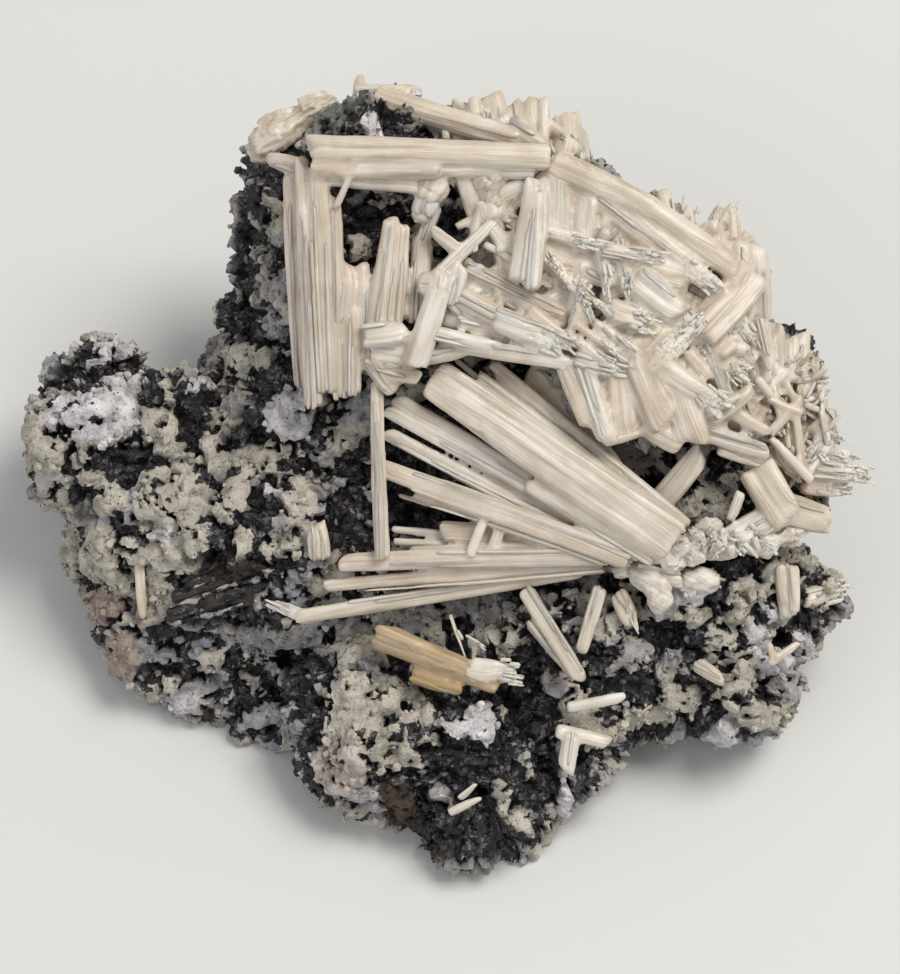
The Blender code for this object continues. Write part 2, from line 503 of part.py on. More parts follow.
def rough_block():
    """The block of galena and baryte: rounded masses fused, roughened and faceted."""

    def fill(mesh):
        for lump in BODY:
            add_lump(mesh, lump, subdivisions=3)
        for lump in BACK:
            add_lump(mesh, lump, subdivisions=3, on_face=False)

    block = helper("block", fill)
    fuse = block.modifiers.new("fuse", "REMESH")
    fuse.mode = "VOXEL"
    fuse.voxel_size = BODY_GRAIN
    ease = block.modifiers.new("ease", "SMOOTH")
    ease.iterations = 4
    freeze(block)
    for vert in block.data.vertices:
        broad = noise.fractal(vert.co / LUMP_SPACING, 0.8, 2.1, 3)
        steps = noise.cell(vert.co / (LUMP_SPACING * 0.45))
        vert.co += vert.normal * (broad * ROUGHNESS + (steps - 0.5) * ROUGHNESS * 0.4)
    facet = block.modifiers.new("facet", "DECIMATE")
    facet.ratio = BODY_FACES / sum(len(face.vertices) - 2 for face in block.data.polygons)
    freeze(block)

    def fill_below(mesh):
        deep = 60.0
        bmesh.ops.create_cube(mesh, size=1.0)
        bmesh.ops.scale(mesh, vec=(400.0, 400.0, deep), verts=mesh.verts)
        bmesh.ops.translate(mesh, vec=(0.0, 0.0, -deep / 2), verts=mesh.verts)

    boolean(block, [helper("below", fill_below)], "DIFFERENCE")
    keep_largest(block)
    return block


def show(name, helper_piece, colour, roughness):
    """Turns a finished mesh in millimetres into one of the part's pieces, in metres."""
    data = helper_piece.data
    bpy.data.objects.remove(helper_piece)
    data.transform(Matrix.Scale(MM, 4))
    data.name = name
    return new_object(name, data, colour, roughness)


def main():
    for old in list(bpy.data.objects):
        bpy.data.objects.remove(old)
    cream = (0.80, 0.72, 0.56)
    stone = (0.16, 0.15, 0.16)
    block = rough_block()
    pieces = {}
    earlier = []
    for name, forms in GROUPS.items():
        boolean(block, solid_forms("pocket", forms, GAP), "DIFFERENCE")
        group = grown_together(name, forms)
        if earlier:
            boolean(group, solid_forms("clearance", earlier, GAP), "DIFFERENCE")
        keep_largest(group)
        earlier.extend(forms)
        pieces[name] = group
    keep_largest(block)
    show("matrix_block", block, stone, 0.8)
    for name, group in pieces.items():
        show(name, group, cream, 0.45)


if __name__ == "__main__":
    main()
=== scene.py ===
"""Dresses the cerussite crystal cluster: a rough galena block with pale crust, and its crystals.

Places on the crystal face are given as they are seen from straight in front of it: across, up
and out towards the eye, in millimetres. Face.point() turns them into the frame's own axes.
"""

import logging
import math
import random
from collections.abc import Callable, Sequence
from dataclasses import dataclass
from enum import Enum
from functools import cache

import bmesh
import bpy
import numpy as np
from mathutils import Euler, Matrix, Vector, noise
from mathutils.bvhtree import BVHTree


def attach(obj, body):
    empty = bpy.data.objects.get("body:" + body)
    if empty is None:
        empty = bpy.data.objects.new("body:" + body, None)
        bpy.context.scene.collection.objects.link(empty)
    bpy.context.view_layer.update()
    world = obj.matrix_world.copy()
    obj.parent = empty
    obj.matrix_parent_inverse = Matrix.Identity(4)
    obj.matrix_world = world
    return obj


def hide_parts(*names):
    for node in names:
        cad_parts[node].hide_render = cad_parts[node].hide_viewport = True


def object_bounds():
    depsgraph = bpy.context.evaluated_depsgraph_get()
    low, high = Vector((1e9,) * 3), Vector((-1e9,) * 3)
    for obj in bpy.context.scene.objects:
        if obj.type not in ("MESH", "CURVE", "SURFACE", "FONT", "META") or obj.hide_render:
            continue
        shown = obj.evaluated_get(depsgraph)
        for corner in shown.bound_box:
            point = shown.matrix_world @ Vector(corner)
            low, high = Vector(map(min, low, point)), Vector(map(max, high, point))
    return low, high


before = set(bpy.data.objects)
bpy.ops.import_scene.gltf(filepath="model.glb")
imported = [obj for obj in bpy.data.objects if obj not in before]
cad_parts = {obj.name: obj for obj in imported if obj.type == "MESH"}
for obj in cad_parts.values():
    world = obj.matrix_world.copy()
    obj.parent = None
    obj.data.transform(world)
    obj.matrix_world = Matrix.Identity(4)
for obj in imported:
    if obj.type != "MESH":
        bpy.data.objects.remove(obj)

log = logging.getLogger("cluster")

MM = 0.001
BODY_NAME = "root"
CAD_BOX = [list(corner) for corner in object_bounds()]
SKIN = 0.02  # millimetres that every piece keeps inside the solids' box

Point = tuple[float, float, float]
Colour = tuple[float, float, float, float]


# The face that the crystals are laid out on, and the eye


@dataclass(frozen=True)
class Face:
    """The plane that the crystal face is laid out on, and the eye in front of it."""

    slope: float = math.radians(60.0)  # how far above the horizon the face looks
    height: float = 28.0  # the middle of the face above the base
    eye: float = 450.0  # from the eye to the middle of the face
    picture: float = 107.14  # what the picture's height spans at the middle of the face
    sensor: float = 36.0

    @property
    def out(self) -> Vector:
        """The direction from the face to the eye."""
        return Vector((0.0, -math.cos(self.slope), math.sin(self.slope)))

    @property
    def up(self) -> Vector:
        """The direction up the face."""
        return Vector((0.0, math.sin(self.slope), math.cos(self.slope)))

    @property
    def across(self) -> Vector:
        """The direction to the right along the face."""
        return Vector((1.0, 0.0, 0.0))

    @property
    def middle(self) -> Vector:
        """The middle of the face, above the base."""
        return Vector((0.0, 0.0, self.height))

    def point(self, across: float, up: float, out: float) -> Vector:
        """Turns a place on the face into the frame's axes.

        Args:
            across: to the right of the middle, as seen.
            up: above the middle, as seen.
            out: towards the eye.

        Returns:
            The point that far out on the line of sight through that place, in millimetres.
        """
        nearer = (self.eye - out) / self.eye
        spread = self.across * (across * nearer) + self.up * (up * nearer)
        return spread + self.out * out + self.middle

    def seen(self, points: np.ndarray) -> np.ndarray:
        """Turns points in the frame's axes back into places on the face.

        Args:
            points: rows of x, y and z in millimetres.

        Returns:
            Rows of across, up and out.
        """
        away = points - np.array(self.middle)
        out = away @ np.array(self.out)
        nearer = (self.eye - out) / self.eye
        across = away @ np.array(self.across) / nearer
        up = away @ np.array(self.up) / nearer
        return np.stack([across, up, out], axis=1)

    def facing(self, points: np.ndarray, normals: np.ndarray) -> np.ndarray:
        """Tells how far each point's surface turns to the eye.

        Args:
            points: rows of x, y and z in millimetres.
            normals: the surface's direction at each point.

        Returns:
            One number a point, from -1 to 1.
        """
        sight = np.array(self.middle + self.out * self.eye) - points
        sight /= np.linalg.norm(sight, axis=1)[:, None]
        return (sight * normals).sum(axis=1)


FACE = Face()


# Finishes


def linear(hex_colour: str) -> Colour:
    """Turns an sRGB hex colour into the linear colour that a shader takes.

    Args:
        hex_colour: six hex digits after a #.

    Returns:
        Red, green, blue and an alpha of 1.
    """
    channels = []
    for i in (1, 3, 5):
        value = int(hex_colour[i : i + 2], 16) / 255
        channels.append(value / 12.92 if value <= 0.04045 else ((value + 0.055) / 1.055) ** 2.4)
    return (channels[0], channels[1], channels[2], 1.0)


def grey(level: float) -> Colour:
    """A linear grey of the given level."""
    return (level, level, level, 1.0)


def node(
    tree: bpy.types.NodeTree,
    kind: str,
    settings: dict[str, object] | None = None,
    *feeds: object,
    **links: object,
) -> bpy.types.Node:
    """Adds a shader node with its settings and links.

    Args:
        tree: the material's node tree.
        kind: the node's type, without ShaderNode.
        settings: properties of the node itself.
        *feeds: values or outputs for its inputs in order, or None to leave one.
        **links: values or outputs for its inputs by name, with _ for a space.

    Returns:
        The new node.
    """
    made = tree.nodes.new(f"ShaderNode{kind}")
    for name, value in (settings or {}).items():
        setattr(made, name, value)
    sockets = [socket for socket in made.inputs if socket.enabled]
    wanted = list(zip(sockets, feeds))
    for name, value in links.items():
        wanted.append((next(s for s in sockets if s.name == name.replace("_", " ")), value))
    for socket, value in wanted:
        if isinstance(value, bpy.types.NodeSocket):
            tree.links.new(value, socket)
        elif value is not None:
            socket.default_value = value
    return made


def ramp(
    tree: bpy.types.NodeTree, factor: bpy.types.NodeSocket, stops: Sequence[tuple[float, Colour]]
) -> bpy.types.NodeSocket:
    """Turns a number into a colour by stops.

    Args:
        tree: the material's node tree.
        factor: the number's output.
        stops: positions and linear colours, in order.

    Returns:
        The colour's output.
    """
    made = node(tree, "ValToRGB", None, factor)
    elements = made.color_ramp.elements
    while len(elements) < len(stops):
        elements.new(0.5)
    for element, (position, colour) in zip(elements, stops):
        element.position = position
        element.color = colour
    return made.outputs["Color"]


def blend(
    tree: bpy.types.NodeTree, way: str, share: object, first: object, second: object
) -> bpy.types.NodeSocket:
    """Mixes two colours.

    Args:
        tree: the material's node tree.
        way: the blend type.
        share: how much of the second, a number or an output.
        first: a colour or an output.
        second: a colour or an output.

    Returns:
        The mixed colour's output.
    """
    settings = {"data_type": "RGBA", "blend_type": way}
    made = node(tree, "Mix", settings, share, first, second)
    return next(socket for socket in made.outputs if socket.enabled)


def step(
    tree: bpy.types.NodeTree,
    value: bpy.types.NodeSocket,
    source: tuple[float, float],
    target: tuple[float, float] = (0.0, 1.0),
) -> bpy.types.NodeSocket:
    """Eases a number from one range into another.

    Args:
        tree: the material's node tree.
        value: the number's output.
        source: the range that it comes from.
        target: the range that it goes to.

    Returns:
        The eased number's output.
    """
    settings = {"interpolation_type": "SMOOTHSTEP"}
    made = node(tree, "MapRange", settings, value, *source, *target)
    return made.outputs["Result"]


@dataclass(frozen=True)
class Cerussite:
    """Milky lead carbonate in striated prisms.

    The striations run along each crystal and catch the light as a silky sheen; the milkiness
    lets light soften the edges; weathered ends turn to a dull chalk with dark grit between.
    """

    name: str = "cerussite_milky"
    tones: tuple[str, ...] = ("#E9E5DF", "#E1D8CA", "#DFD3CA", "#BEA478")
    chalk: str = "#E6E1D6"
    grit: str = "#6E6557"
    striation: float = 0.22  # millimetres from one striation to the next
    roughness: float = 0.38
    milk: float = 0.5  # share of the light that goes into the crystal
    index: float = 1.6  # cerussite has 1.8 to 2.08; its striations hide some of that gloss

    def make(self) -> bpy.types.Material:
        """Builds the material, which reads the strands' own map in millimetres."""
        made = bpy.data.materials.new(self.name)
        made.use_nodes = True
        tree = made.node_tree
        shader = tree.nodes["Principled BSDF"]
        tone = node(tree, "Attribute", {"attribute_name": "tone"}).outputs["Fac"]
        wear = node(tree, "Attribute", {"attribute_name": "wear"}).outputs["Fac"]
        along = node(tree, "UVMap", {"uv_map": "strands"}).outputs["UV"]
        place = node(tree, "TexCoord").outputs["Object"]

        fine = node(tree, "Mapping", None, Vector=along, Scale=(1 / self.striation, 0.055, 1.0))
        lines = node(tree, "TexNoise", None, fine.outputs["Vector"], Scale=1.0, Detail=4.0)
        wide = node(tree, "Mapping", None, Vector=along, Scale=(1.1, 0.09, 1.0))
        bands = node(tree, "TexNoise", None, wide.outputs["Vector"], Scale=1.0, Detail=3.0)
        cloud = node(tree, "TexNoise", None, place, Scale=1 / (4.0 * MM), Detail=4.0)
        grain = node(tree, "TexNoise", None, place, Scale=1 / (0.35 * MM), Detail=3.0)

        stops = [(i / (len(self.tones) - 1), linear(tint)) for i, tint in enumerate(self.tones)]
        body = ramp(tree, tone, stops)
        shade = ramp(tree, cloud.outputs["Fac"], ((0.35, linear("#DDD5CA")), (0.62, grey(1.0))))
        body = blend(tree, "MULTIPLY", 0.6, body, shade)
        shade = ramp(
            tree,
            lines.outputs["Fac"],
            ((0.30, linear("#BBAF9C")), (0.44, linear("#EEE8DF")), (0.60, grey(1.0))),
        )
        body = blend(tree, "MULTIPLY", 0.6, body, shade)
        shade = ramp(tree, bands.outputs["Fac"], ((0.36, linear("#CBC1B3")), (0.56, grey(1.0))))
        body = blend(tree, "MULTIPLY", 0.35, body, shade)

        weathered = ramp(
            tree,
            grain.outputs["Fac"],
            ((0.33, linear(self.grit)), (0.41, linear("#C8BEA9")), (0.52, linear(self.chalk))),
        )
        ragged = node(tree, "Math", {"operation": "MULTIPLY_ADD"}, grain.outputs["Fac"], 1.1, wear)
        worn = step(tree, ragged.outputs["Value"], (0.9, 1.3))
        tree.links.new(blend(tree, "MIX", worn, body, weathered), shader.inputs["Base Color"])
        tree.links.new(step(tree, worn, (0.0, 1.0), (self.roughness, 0.85)), shader.inputs["Roughness"])

        broad = node(tree, "Bump", None, Height=bands.outputs["Fac"], Strength=0.8, Distance=0.34 * MM)
        ribs = node(
            tree,
            "Bump",
            None,
            Height=lines.outputs["Fac"],
            Strength=0.65,
            Distance=0.1 * MM,
            Normal=broad.outputs["Normal"],
        )
        pits = node(
            tree,
            "Bump",
            None,
            Height=grain.outputs["Fac"],
            Strength=0.2,
            Distance=0.08 * MM,
            Normal=ribs.outputs["Normal"],
        )
        tree.links.new(pits.outputs["Normal"], shader.inputs["Normal"])
        shader.inputs["IOR"].default_value = self.index
        shader.inputs["Subsurface Weight"].default_value = self.milk
        shader.inputs["Subsurface Radius"].default_value = (1.0, 0.91, 0.82)
        shader.inputs["Subsurface Scale"].default_value = 1.3 * MM
        return made


@dataclass(frozen=True)
class CrustedGalena:
    """Broken galena ore with a granular baryte crust.

    The attribute "cover" holds the colour of what covers the ore, and "pale" how much of it
    there is. Bare galena is dark and broken in small steps, with a painted glint in a few random
    cleavage cells; the crust is dull and granular.
    """

    name: str = "galena_with_baryte_crust"
    ore: str = "#1C1A1B"
    ore_light: str = "#3A373A"
    # the colour of the painted glint
    glint: str = "#76747B"
    dust: str = "#7B7671"
    crumb: float = 0.30  # millimetres, the crust's grain
    cleavage: float = 0.55  # millimetres, the galena's steps

    def make(self) -> bpy.types.Material:
        """Builds the material, which reads Object coordinates and the two attributes."""
        made = bpy.data.materials.new(self.name)
        made.use_nodes = True
        tree = made.node_tree
        shader = tree.nodes["Principled BSDF"]
        cover = node(tree, "Attribute", {"attribute_name": "cover"}).outputs["Color"]
        pale = node(tree, "Attribute", {"attribute_name": "pale"}).outputs["Fac"]
        place = node(tree, "TexCoord").outputs["Object"]
        grain = node(tree, "TexNoise", None, place, Scale=1 / (self.crumb * MM), Detail=4.0)
        blot = node(tree, "TexNoise", None, place, Scale=1 / (1.6 * MM), Detail=5.0)
        speck = node(tree, "TexNoise", None, place, Scale=1 / (0.6 * MM), Detail=2.0)
        steps = node(tree, "TexVoronoi", None, place, Scale=1 / (self.cleavage * MM))

        shade = ramp(tree, blot.outputs["Fac"], ((0.32, grey(0.5)), (0.5, grey(0.95)), (0.7, grey(1.1))))
        crust = blend(tree, "MULTIPLY", 0.8, cover, shade)
        shade = ramp(tree, grain.outputs["Fac"], ((0.34, grey(0.6)), (0.48, grey(0.95)), (0.66, grey(1.1))))
        crust = blend(tree, "MULTIPLY", 0.5, crust, shade)
        dots = ramp(tree, speck.outputs["Fac"], ((0.285, grey(1.0)), (0.32, grey(0.0))))
        crust = blend(tree, "MIX", dots, crust, linear("#3A3733"))

        level = node(tree, "SeparateColor", None, steps.outputs["Color"]).outputs["Red"]
        ore = blend(tree, "MIX", level, linear(self.ore), linear(self.ore_light))
        shade = ramp(tree, blot.outputs["Fac"], ((0.35, grey(0.55)), (0.6, grey(1.3))))
        ore = blend(tree, "MULTIPLY", 0.8, ore, shade)
        # painted glint: a few random cleavage cells lightened to stand for sparkle
        painted_glints = ramp(tree, level, ((0.93, grey(0.0)), (0.96, grey(1.0))))
        ore = blend(tree, "MIX", painted_glints, ore, linear(self.glint))
        dusty = node(tree, "Math", {"operation": "ADD"}, blot.outputs["Fac"], grain.outputs["Fac"])
        dust = step(tree, dusty.outputs["Value"], (1.08, 1.26))
        ore = blend(tree, "MIX", dust, ore, linear(self.dust))

        edge = node(tree, "Math", {"operation": "MULTIPLY_ADD"}, grain.outputs["Fac"], 0.9, pale)
        covered = step(tree, edge.outputs["Value"], (0.82, 1.06))
        tree.links.new(blend(tree, "MIX", covered, ore, crust), shader.inputs["Base Color"])
        tree.links.new(step(tree, covered, (0.0, 1.0), (0.42, 0.85)), shader.inputs["Roughness"])
        tree.links.new(step(tree, covered, (0.0, 1.0), (0.3, 0.0)), shader.inputs["Metallic"])

        round_grains = node(tree, "TexVoronoi", None, place, Scale=1 / (1.0 * MM))
        swollen = node(
            tree,
            "Bump",
            {"invert": True},
            Height=round_grains.outputs["Distance"],
            Strength=0.5,
            Distance=0.35 * MM,
        )
        coarse = node(
            tree,
            "Bump",
            None,
            Height=steps.outputs["Distance"],
            Strength=0.5,
            Distance=0.25 * MM,
            Normal=swollen.outputs["Normal"],
        )
        fine = node(
            tree,
            "Bump",
            None,
            Height=grain.outputs["Fac"],
            Strength=0.8,
            Distance=0.18 * MM,
            Normal=coarse.outputs["Normal"],
        )
        tree.links.new(fine.outputs["Normal"], shader.inputs["Normal"])
        return made


# Meshes


def inside_box(points: np.ndarray) -> np.ndarray:
    """Keeps points inside the solids' box.

    Args:
        points: rows of x, y and z in millimetres.

    Returns:
        The points, those outside moved to the box's faces.
    """
    low, high = (np.array(corner) / MM for corner in CAD_BOX)
    inner_low = low + np.array([SKIN, SKIN, 0.0])
    return np.clip(points, inner_low, high - SKIN)


def gathered(points: np.ndarray, faces: list[tuple[int, ...]], name: str) -> bpy.types.Mesh:
    """Makes one mesh from copies of modelled shapes.

    Args:
        points: rows of x, y and z in millimetres.
        faces: the corners of each face.
        name: the mesh's name.

    Returns:
        The mesh, in metres.
    """
    made = bpy.data.meshes.new(name)
    made.from_pydata((inside_box(points) * MM).tolist(), [], faces)
    made.update()
    return made


def put_attribute(mesh: bpy.types.Mesh, name: str, values: np.ndarray) -> None:
    """Stores one number, or one colour, for each point of a mesh.

    Args:
        mesh: the mesh.
        name: the attribute's name.
        values: one number a point, or rows of red, green and blue.
    """
    if values.ndim == 1:
        made = mesh.attributes.new(name, "FLOAT", "POINT")
        made.data.foreach_set("value", values.astype(np.float32))
    else:
        made = mesh.attributes.new(name, "FLOAT_COLOR", "POINT")
        rgba = np.concatenate([values, np.ones((len(values), 1))], axis=1)
        made.data.foreach_set("color", rgba.astype(np.float32).ravel())


def coordinates(mesh: bpy.types.Mesh, what: str = "co") -> np.ndarray:
    """Reads the points or the normals of a mesh.

    Args:
        mesh: the mesh.
        what: co or normal.

    Returns:
        Rows of x, y and z.
    """
    values = np.empty(len(mesh.vertices) * 3)
    mesh.vertices.foreach_get(what, values)
    return values.reshape(-1, 3)


def modified(mesh: bpy.types.Mesh, *modifiers: tuple[str, dict[str, object]]) -> bpy.types.Mesh:
    """Runs modifiers over a mesh.

    Args:
        mesh: the mesh, which is left as it is.
        *modifiers: each modifier's type and settings, in order.

    Returns:
        A new mesh.
    """
    holder = bpy.data.objects.new("holder", mesh)
    bpy.context.scene.collection.objects.link(holder)
    for kind, settings in modifiers:
        modifier = holder.modifiers.new(kind.lower(), kind)
        for name, value in settings.items():
            setattr(modifier, name, value)
    graph = bpy.context.evaluated_depsgraph_get()
    made = bpy.data.meshes.new_from_object(holder.evaluated_get(graph))
    bpy.data.objects.remove(holder)
    return made


def show(
    name: str,
    mesh: bpy.types.Mesh,
    finish: bpy.types.Material,
    stands_for: Sequence[str] = (),
    smooth: bool = False,
    crease: float = 48.0,
) -> bpy.types.Object:
    """Puts a finished piece in the scene.

    Args:
        name: the piece's name.
        mesh: its mesh, in place, in metres.
        finish: its material.
        stands_for: the CAD nodes that it replaces.
        smooth: whether its faces are shaded smooth.
        crease: the angle in degrees from which an edge stays sharp, or 0 for none.

    Returns:
        The object.
    """
    piece = bpy.data.objects.new(name, mesh)
    bpy.context.scene.collection.objects.link(piece)
    mesh.materials.clear()
    mesh.materials.append(finish)
    mesh.polygons.foreach_set("use_smooth", [smooth] * len(mesh.polygons))
    if smooth and crease:
        mesh.set_sharp_from_angle(angle=math.radians(crease))
    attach(piece, BODY_NAME)
    if stands_for:
        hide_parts(*stands_for)
    triangles = sum(len(face.vertices) - 2 for face in mesh.polygons)
    log.info("%s: %d triangles", name, triangles)
    return piece


def noisy(points: np.ndarray, size: float, kind: Callable[[Vector], float]) -> np.ndarray:
    """Samples a noise at each point.

    Args:
        points: rows of x, y and z in millimetres.
        size: the noise's scale in millimetres.
        kind: the noise.

    Returns:
        One number a point.
    """
    return np.array([kind(Vector(row)) for row in points / size])


def fractal(place: Vector) -> float:
    """A soft noise of three octaves, about -1 to 1."""
    return noise.fractal(place, 0.8, 2.1, 3)


def grapes(place: Vector) -> float:
    """Rounded bumps like a bunch of grapes, 0 between them and 1 on top."""
    near = min(1.0, noise.voronoi(place)[0][0] * 1.25)
    return math.sqrt(1.0 - near * near)


# Rounded masses of rock and crust


@dataclass(frozen=True)
class Lump:
    """A rounded mass: half sizes across, up and out, rolled about the line of sight."""

    centre: Point
    half: Point
    roll: float = 0.0
    on_face: bool = True

    def add(self, mesh: bmesh.types.BMesh) -> None:
        """Adds the mass to a mesh in millimetres."""
        made = bmesh.ops.create_icosphere(mesh, subdivisions=3, radius=1.0)["verts"]
        across, up, out = FACE.across, FACE.up, FACE.out
        if not self.on_face:
            across, up, out = Vector((1, 0, 0)), Vector((0, 1, 0)), Vector((0, 0, 1))
        place = Matrix((across, up, out)).transposed().to_4x4()
        place.translation = FACE.point(*self.centre) if self.on_face else Vector(self.centre)
        turn = Matrix.Rotation(math.radians(self.roll), 4, "Z")
        bmesh.ops.transform(mesh, matrix=place @ turn @ Matrix.Diagonal((*self.half, 1.0)), verts=made)


def lumps_mesh(lumps: Sequence[Lump]) -> bpy.types.Mesh:
    """Gathers rounded masses, still overlapping, in one mesh in millimetres.

    Args:
        lumps: the masses.

    Returns:
        The mesh.
    """
    mesh = bmesh.new()
    for lump in lumps:
        lump.add(mesh)
    made = bpy.data.meshes.new("lumps")
    mesh.to_mesh(made)
    mesh.free()
    return made


@dataclass(frozen=True)
class Coat:
    """What covers a place on the rock."""

    colour: str
    pale: float  # 0 is bare ore, 1 is closed crust, between them they mix
    lift: float  # millimetres above the rock
    knobs: float  # millimetres, the height of its rounded grains


class Cover(Enum):
    """The covers found on the block, one of them pale crust greyed with painted shade and tinted with
    painted blue reflected light.
    """

    CREAM = Coat("#BCB5A8", 1.0, 0.8, 0.55)
    WHITE = Coat("#D1CDCE", 1.1, 1.1, 0.55)
    PINK = Coat("#C9BDB4", 1.0, 0.7, 0.5)
    TAN = Coat("#A8978B", 1.0, 0.7, 0.4)
    GREEN = Coat("#72736E", 0.42, 0.0, 0.2)
    GREY = Coat("#A5A2A1", 0.85, 0.5, 0.4)
    # painted shade and painted blue reflected light: pale crust coloured grey-blue as it looks on the
    # shaded lower sides
    PAINTED_SHADE_BLUE = Coat("#9A9BA0", 0.8, 0.5, 0.4)
    MIXED = Coat("#A09D96", 0.42, 0.3, 0.3)
    BROWN = Coat("#38322B", 0.9, 0.1, 0.2)
    CRYSTAL = Coat("#D9CBBB", 1.6, -0.4, 0.5)
    ORE = Coat("#2B2A31", 0.0, -0.3, 0.0)
    SLATE = Coat("#3C3F48", 0.12, -0.2, 0.1)
    SPECKLED = Coat("#B1ABA1", 0.85, 1.6, 0.35)
    RUST = Coat("#4A3D32", 0.42, 0.0, 0.2)
    HOLE = Coat("#18171A", 0.0, -2.6, 0.0)


@dataclass(frozen=True)
class Patch:
    """An oval place on the crystal face with one cover."""

    cover: Cover
    across: float
    up: float
    half_across: float
    half_up: float
    roll: float = 0.0


def coated(cover: Cover, *ovals: tuple[float, ...]) -> tuple[Patch, ...]:
    """Gives several oval places the same cover.

    Args:
        cover: the cover.
        *ovals: each place's across, up, two half sizes and, where it has one, its roll.

    Returns:
        The patches, in the same order.
    """
    return tuple(Patch(cover, *oval) for oval in ovals)


# The covers of the crystal face, those that lie over others last
LEFT_ARM = (
    *coated(Cover.ORE, (-35, 3, 5, 1.8)),
    *coated(Cover.SLATE, (-41, 12, 3, 2.5)),
    *coated(Cover.ORE, (-33, 10.5, 1.5, 2.5)),
    *coated(Cover.SLATE, (-32.5, 13, 1.6, 1.2)),
    *coated(
        Cover.ORE,
        (-28, 8, 2.2, 3), (-23, 6, 2.5, 2.5), (-22, 18, 2.5, 2.2), (-20.5, -1.5, 2.5, 2.5),
    ),
    *coated(
        Cover.WHITE,
        (-38.5, 7.5, 4.8, 3), (-42.5, 7, 2.5, 1.5), (-37, 15, 2.5, 1.2), (-38.5, 13.3, 1.8, 1, 30),
        (-36.5, 11, 3, 0.7),
    ),
    *coated(
        Cover.CREAM,
        (-45.5, 6.2, 1.2, 1.6), (-44, 4, 1.8, 2), (-31.5, 6, 1.8, 3, 25), (-30.5, -1.5, 4.5, 3.2),
        (-37, -1.8, 2, 1.6), (-39.5, 1, 1.4, 0.8), (-38, 0.2, 1.2, 0.6),
    ),
    *coated(Cover.GREEN, (-39.8, -2.3, 1.3, 1.3)),
    *coated(
        Cover.CREAM,
        (-42, -6, 2, 1.5), (-39, -6.5, 2.2, 2.4), (-35.5, -10, 1.8, 2), (-34, -7, 2.5, 1),
    ),
    *coated(Cover.WHITE, (-31.3, -5.5, 1.5, 0.8)),
    *coated(
        Cover.CREAM,
        (-28.5, -7, 2.3, 2.5), (-27.5, -5, 2, 1), (-25, 7.6, 1.7, 1.5), (-24.3, 9.5, 1.2, 0.5),
        (-24, 2.6, 3.3, 1.7), (-22, 3.5, 1.6, 1.4), (-26.5, 4.5, 1.2, 1), (-21.5, 14.5, 2.3, 1.7),
        (-23, 13.5, 1.5, 1.5), (-23.5, -1, 1.5, 2.5), (-24, -3, 1.5, 1.6), (-22.5, -6, 1.3, 2.5),
        (-16.5, -2, 2, 3), (-18, -6.5, 2, 1.5),
    ),
    *coated(Cover.GREY, (-19.5, 17.5, 1.5, 1.5)),
    *coated(
        Cover.WHITE,
        (-27.5, 10.6, 1.4, 0.9), (-17.5, 8, 2.5, 3), (-20, -0.8, 0.7, 0.6), (-18.6, -1, 0.4, 0.6),
        (-28.5, 13, 1.2, 0.6),
    ),
    *coated(Cover.CREAM, (-19, 4, 1.6, 1.2)),
    *coated(Cover.ORE, (-19, 11.7, 1.4, 1.3)),
    *coated(Cover.HOLE, (-26.5, -7.8, 1.0, 1.0)),
)
LOWER_LEFT = (
    *coated(Cover.ORE, (-31, -19.5, 3, 0.8), (-28, -20.7, 3, 0.5), (-34.8, -16, 0.8, 1)),
    *coated(
        Cover.CREAM,
        (-41, -6.5, 3, 2, -30), (-38, -8.5, 2.5, 1.8, -30), (-35.3, -10, 1.5, 2.2),
        (-32, -11.5, 1.5, 1.6),
    ),
    *coated(Cover.TAN, (-38, -13, 2, 2.3), (-36, -18, 1.8, 2.5)),
    # the grey-blue patches in this list are painted shade and painted blue reflected light on the shaded
    # lower-left side
    *coated(Cover.PAINTED_SHADE_BLUE, (-30, -17, 4, 2.5), (-27, -15, 4, 1)),
    *coated(Cover.CREAM, (-26, -18.5, 1.8, 1.3)),
    *coated(Cover.WHITE, (-29, -23, 1.8, 1.3)),
    *coated(Cover.GREY, (-25.5, -22.5, 1.8, 1.5), (-22, -17, 3, 1.5), (-20, -21, 2.5, 2)),
    *coated(Cover.CREAM, (-32.5, -22, 2, 1.3)),
    *coated(Cover.MIXED, (-23, -25.5, 3, 2)),
    *coated(Cover.PAINTED_SHADE_BLUE, (-19, -26, 3, 2.5)),
    *coated(Cover.BROWN, (-26.5, -25, 1.2, 0.8), (-25, -11.5, 5.5, 3.2, 20)),
    *coated(
        Cover.ORE,
        (-22, -14.5, 3, 1), (-17, -19.5, 2.5, 2), (-22, -20, 2, 0.7), (-18.7, -23, 0.8, 1.2),
    ),
    *coated(Cover.PAINTED_SHADE_BLUE, (-18, -11, 2.5, 1.5), (-17, -12.8, 2.3, 1)),
    *coated(Cover.CREAM, (-14.7, -11, 0.9, 0.9), (-14.3, -17.5, 0.8, 0.5)),
    *coated(Cover.GREY, (-17, -16.5, 2.5, 1.2)),
)
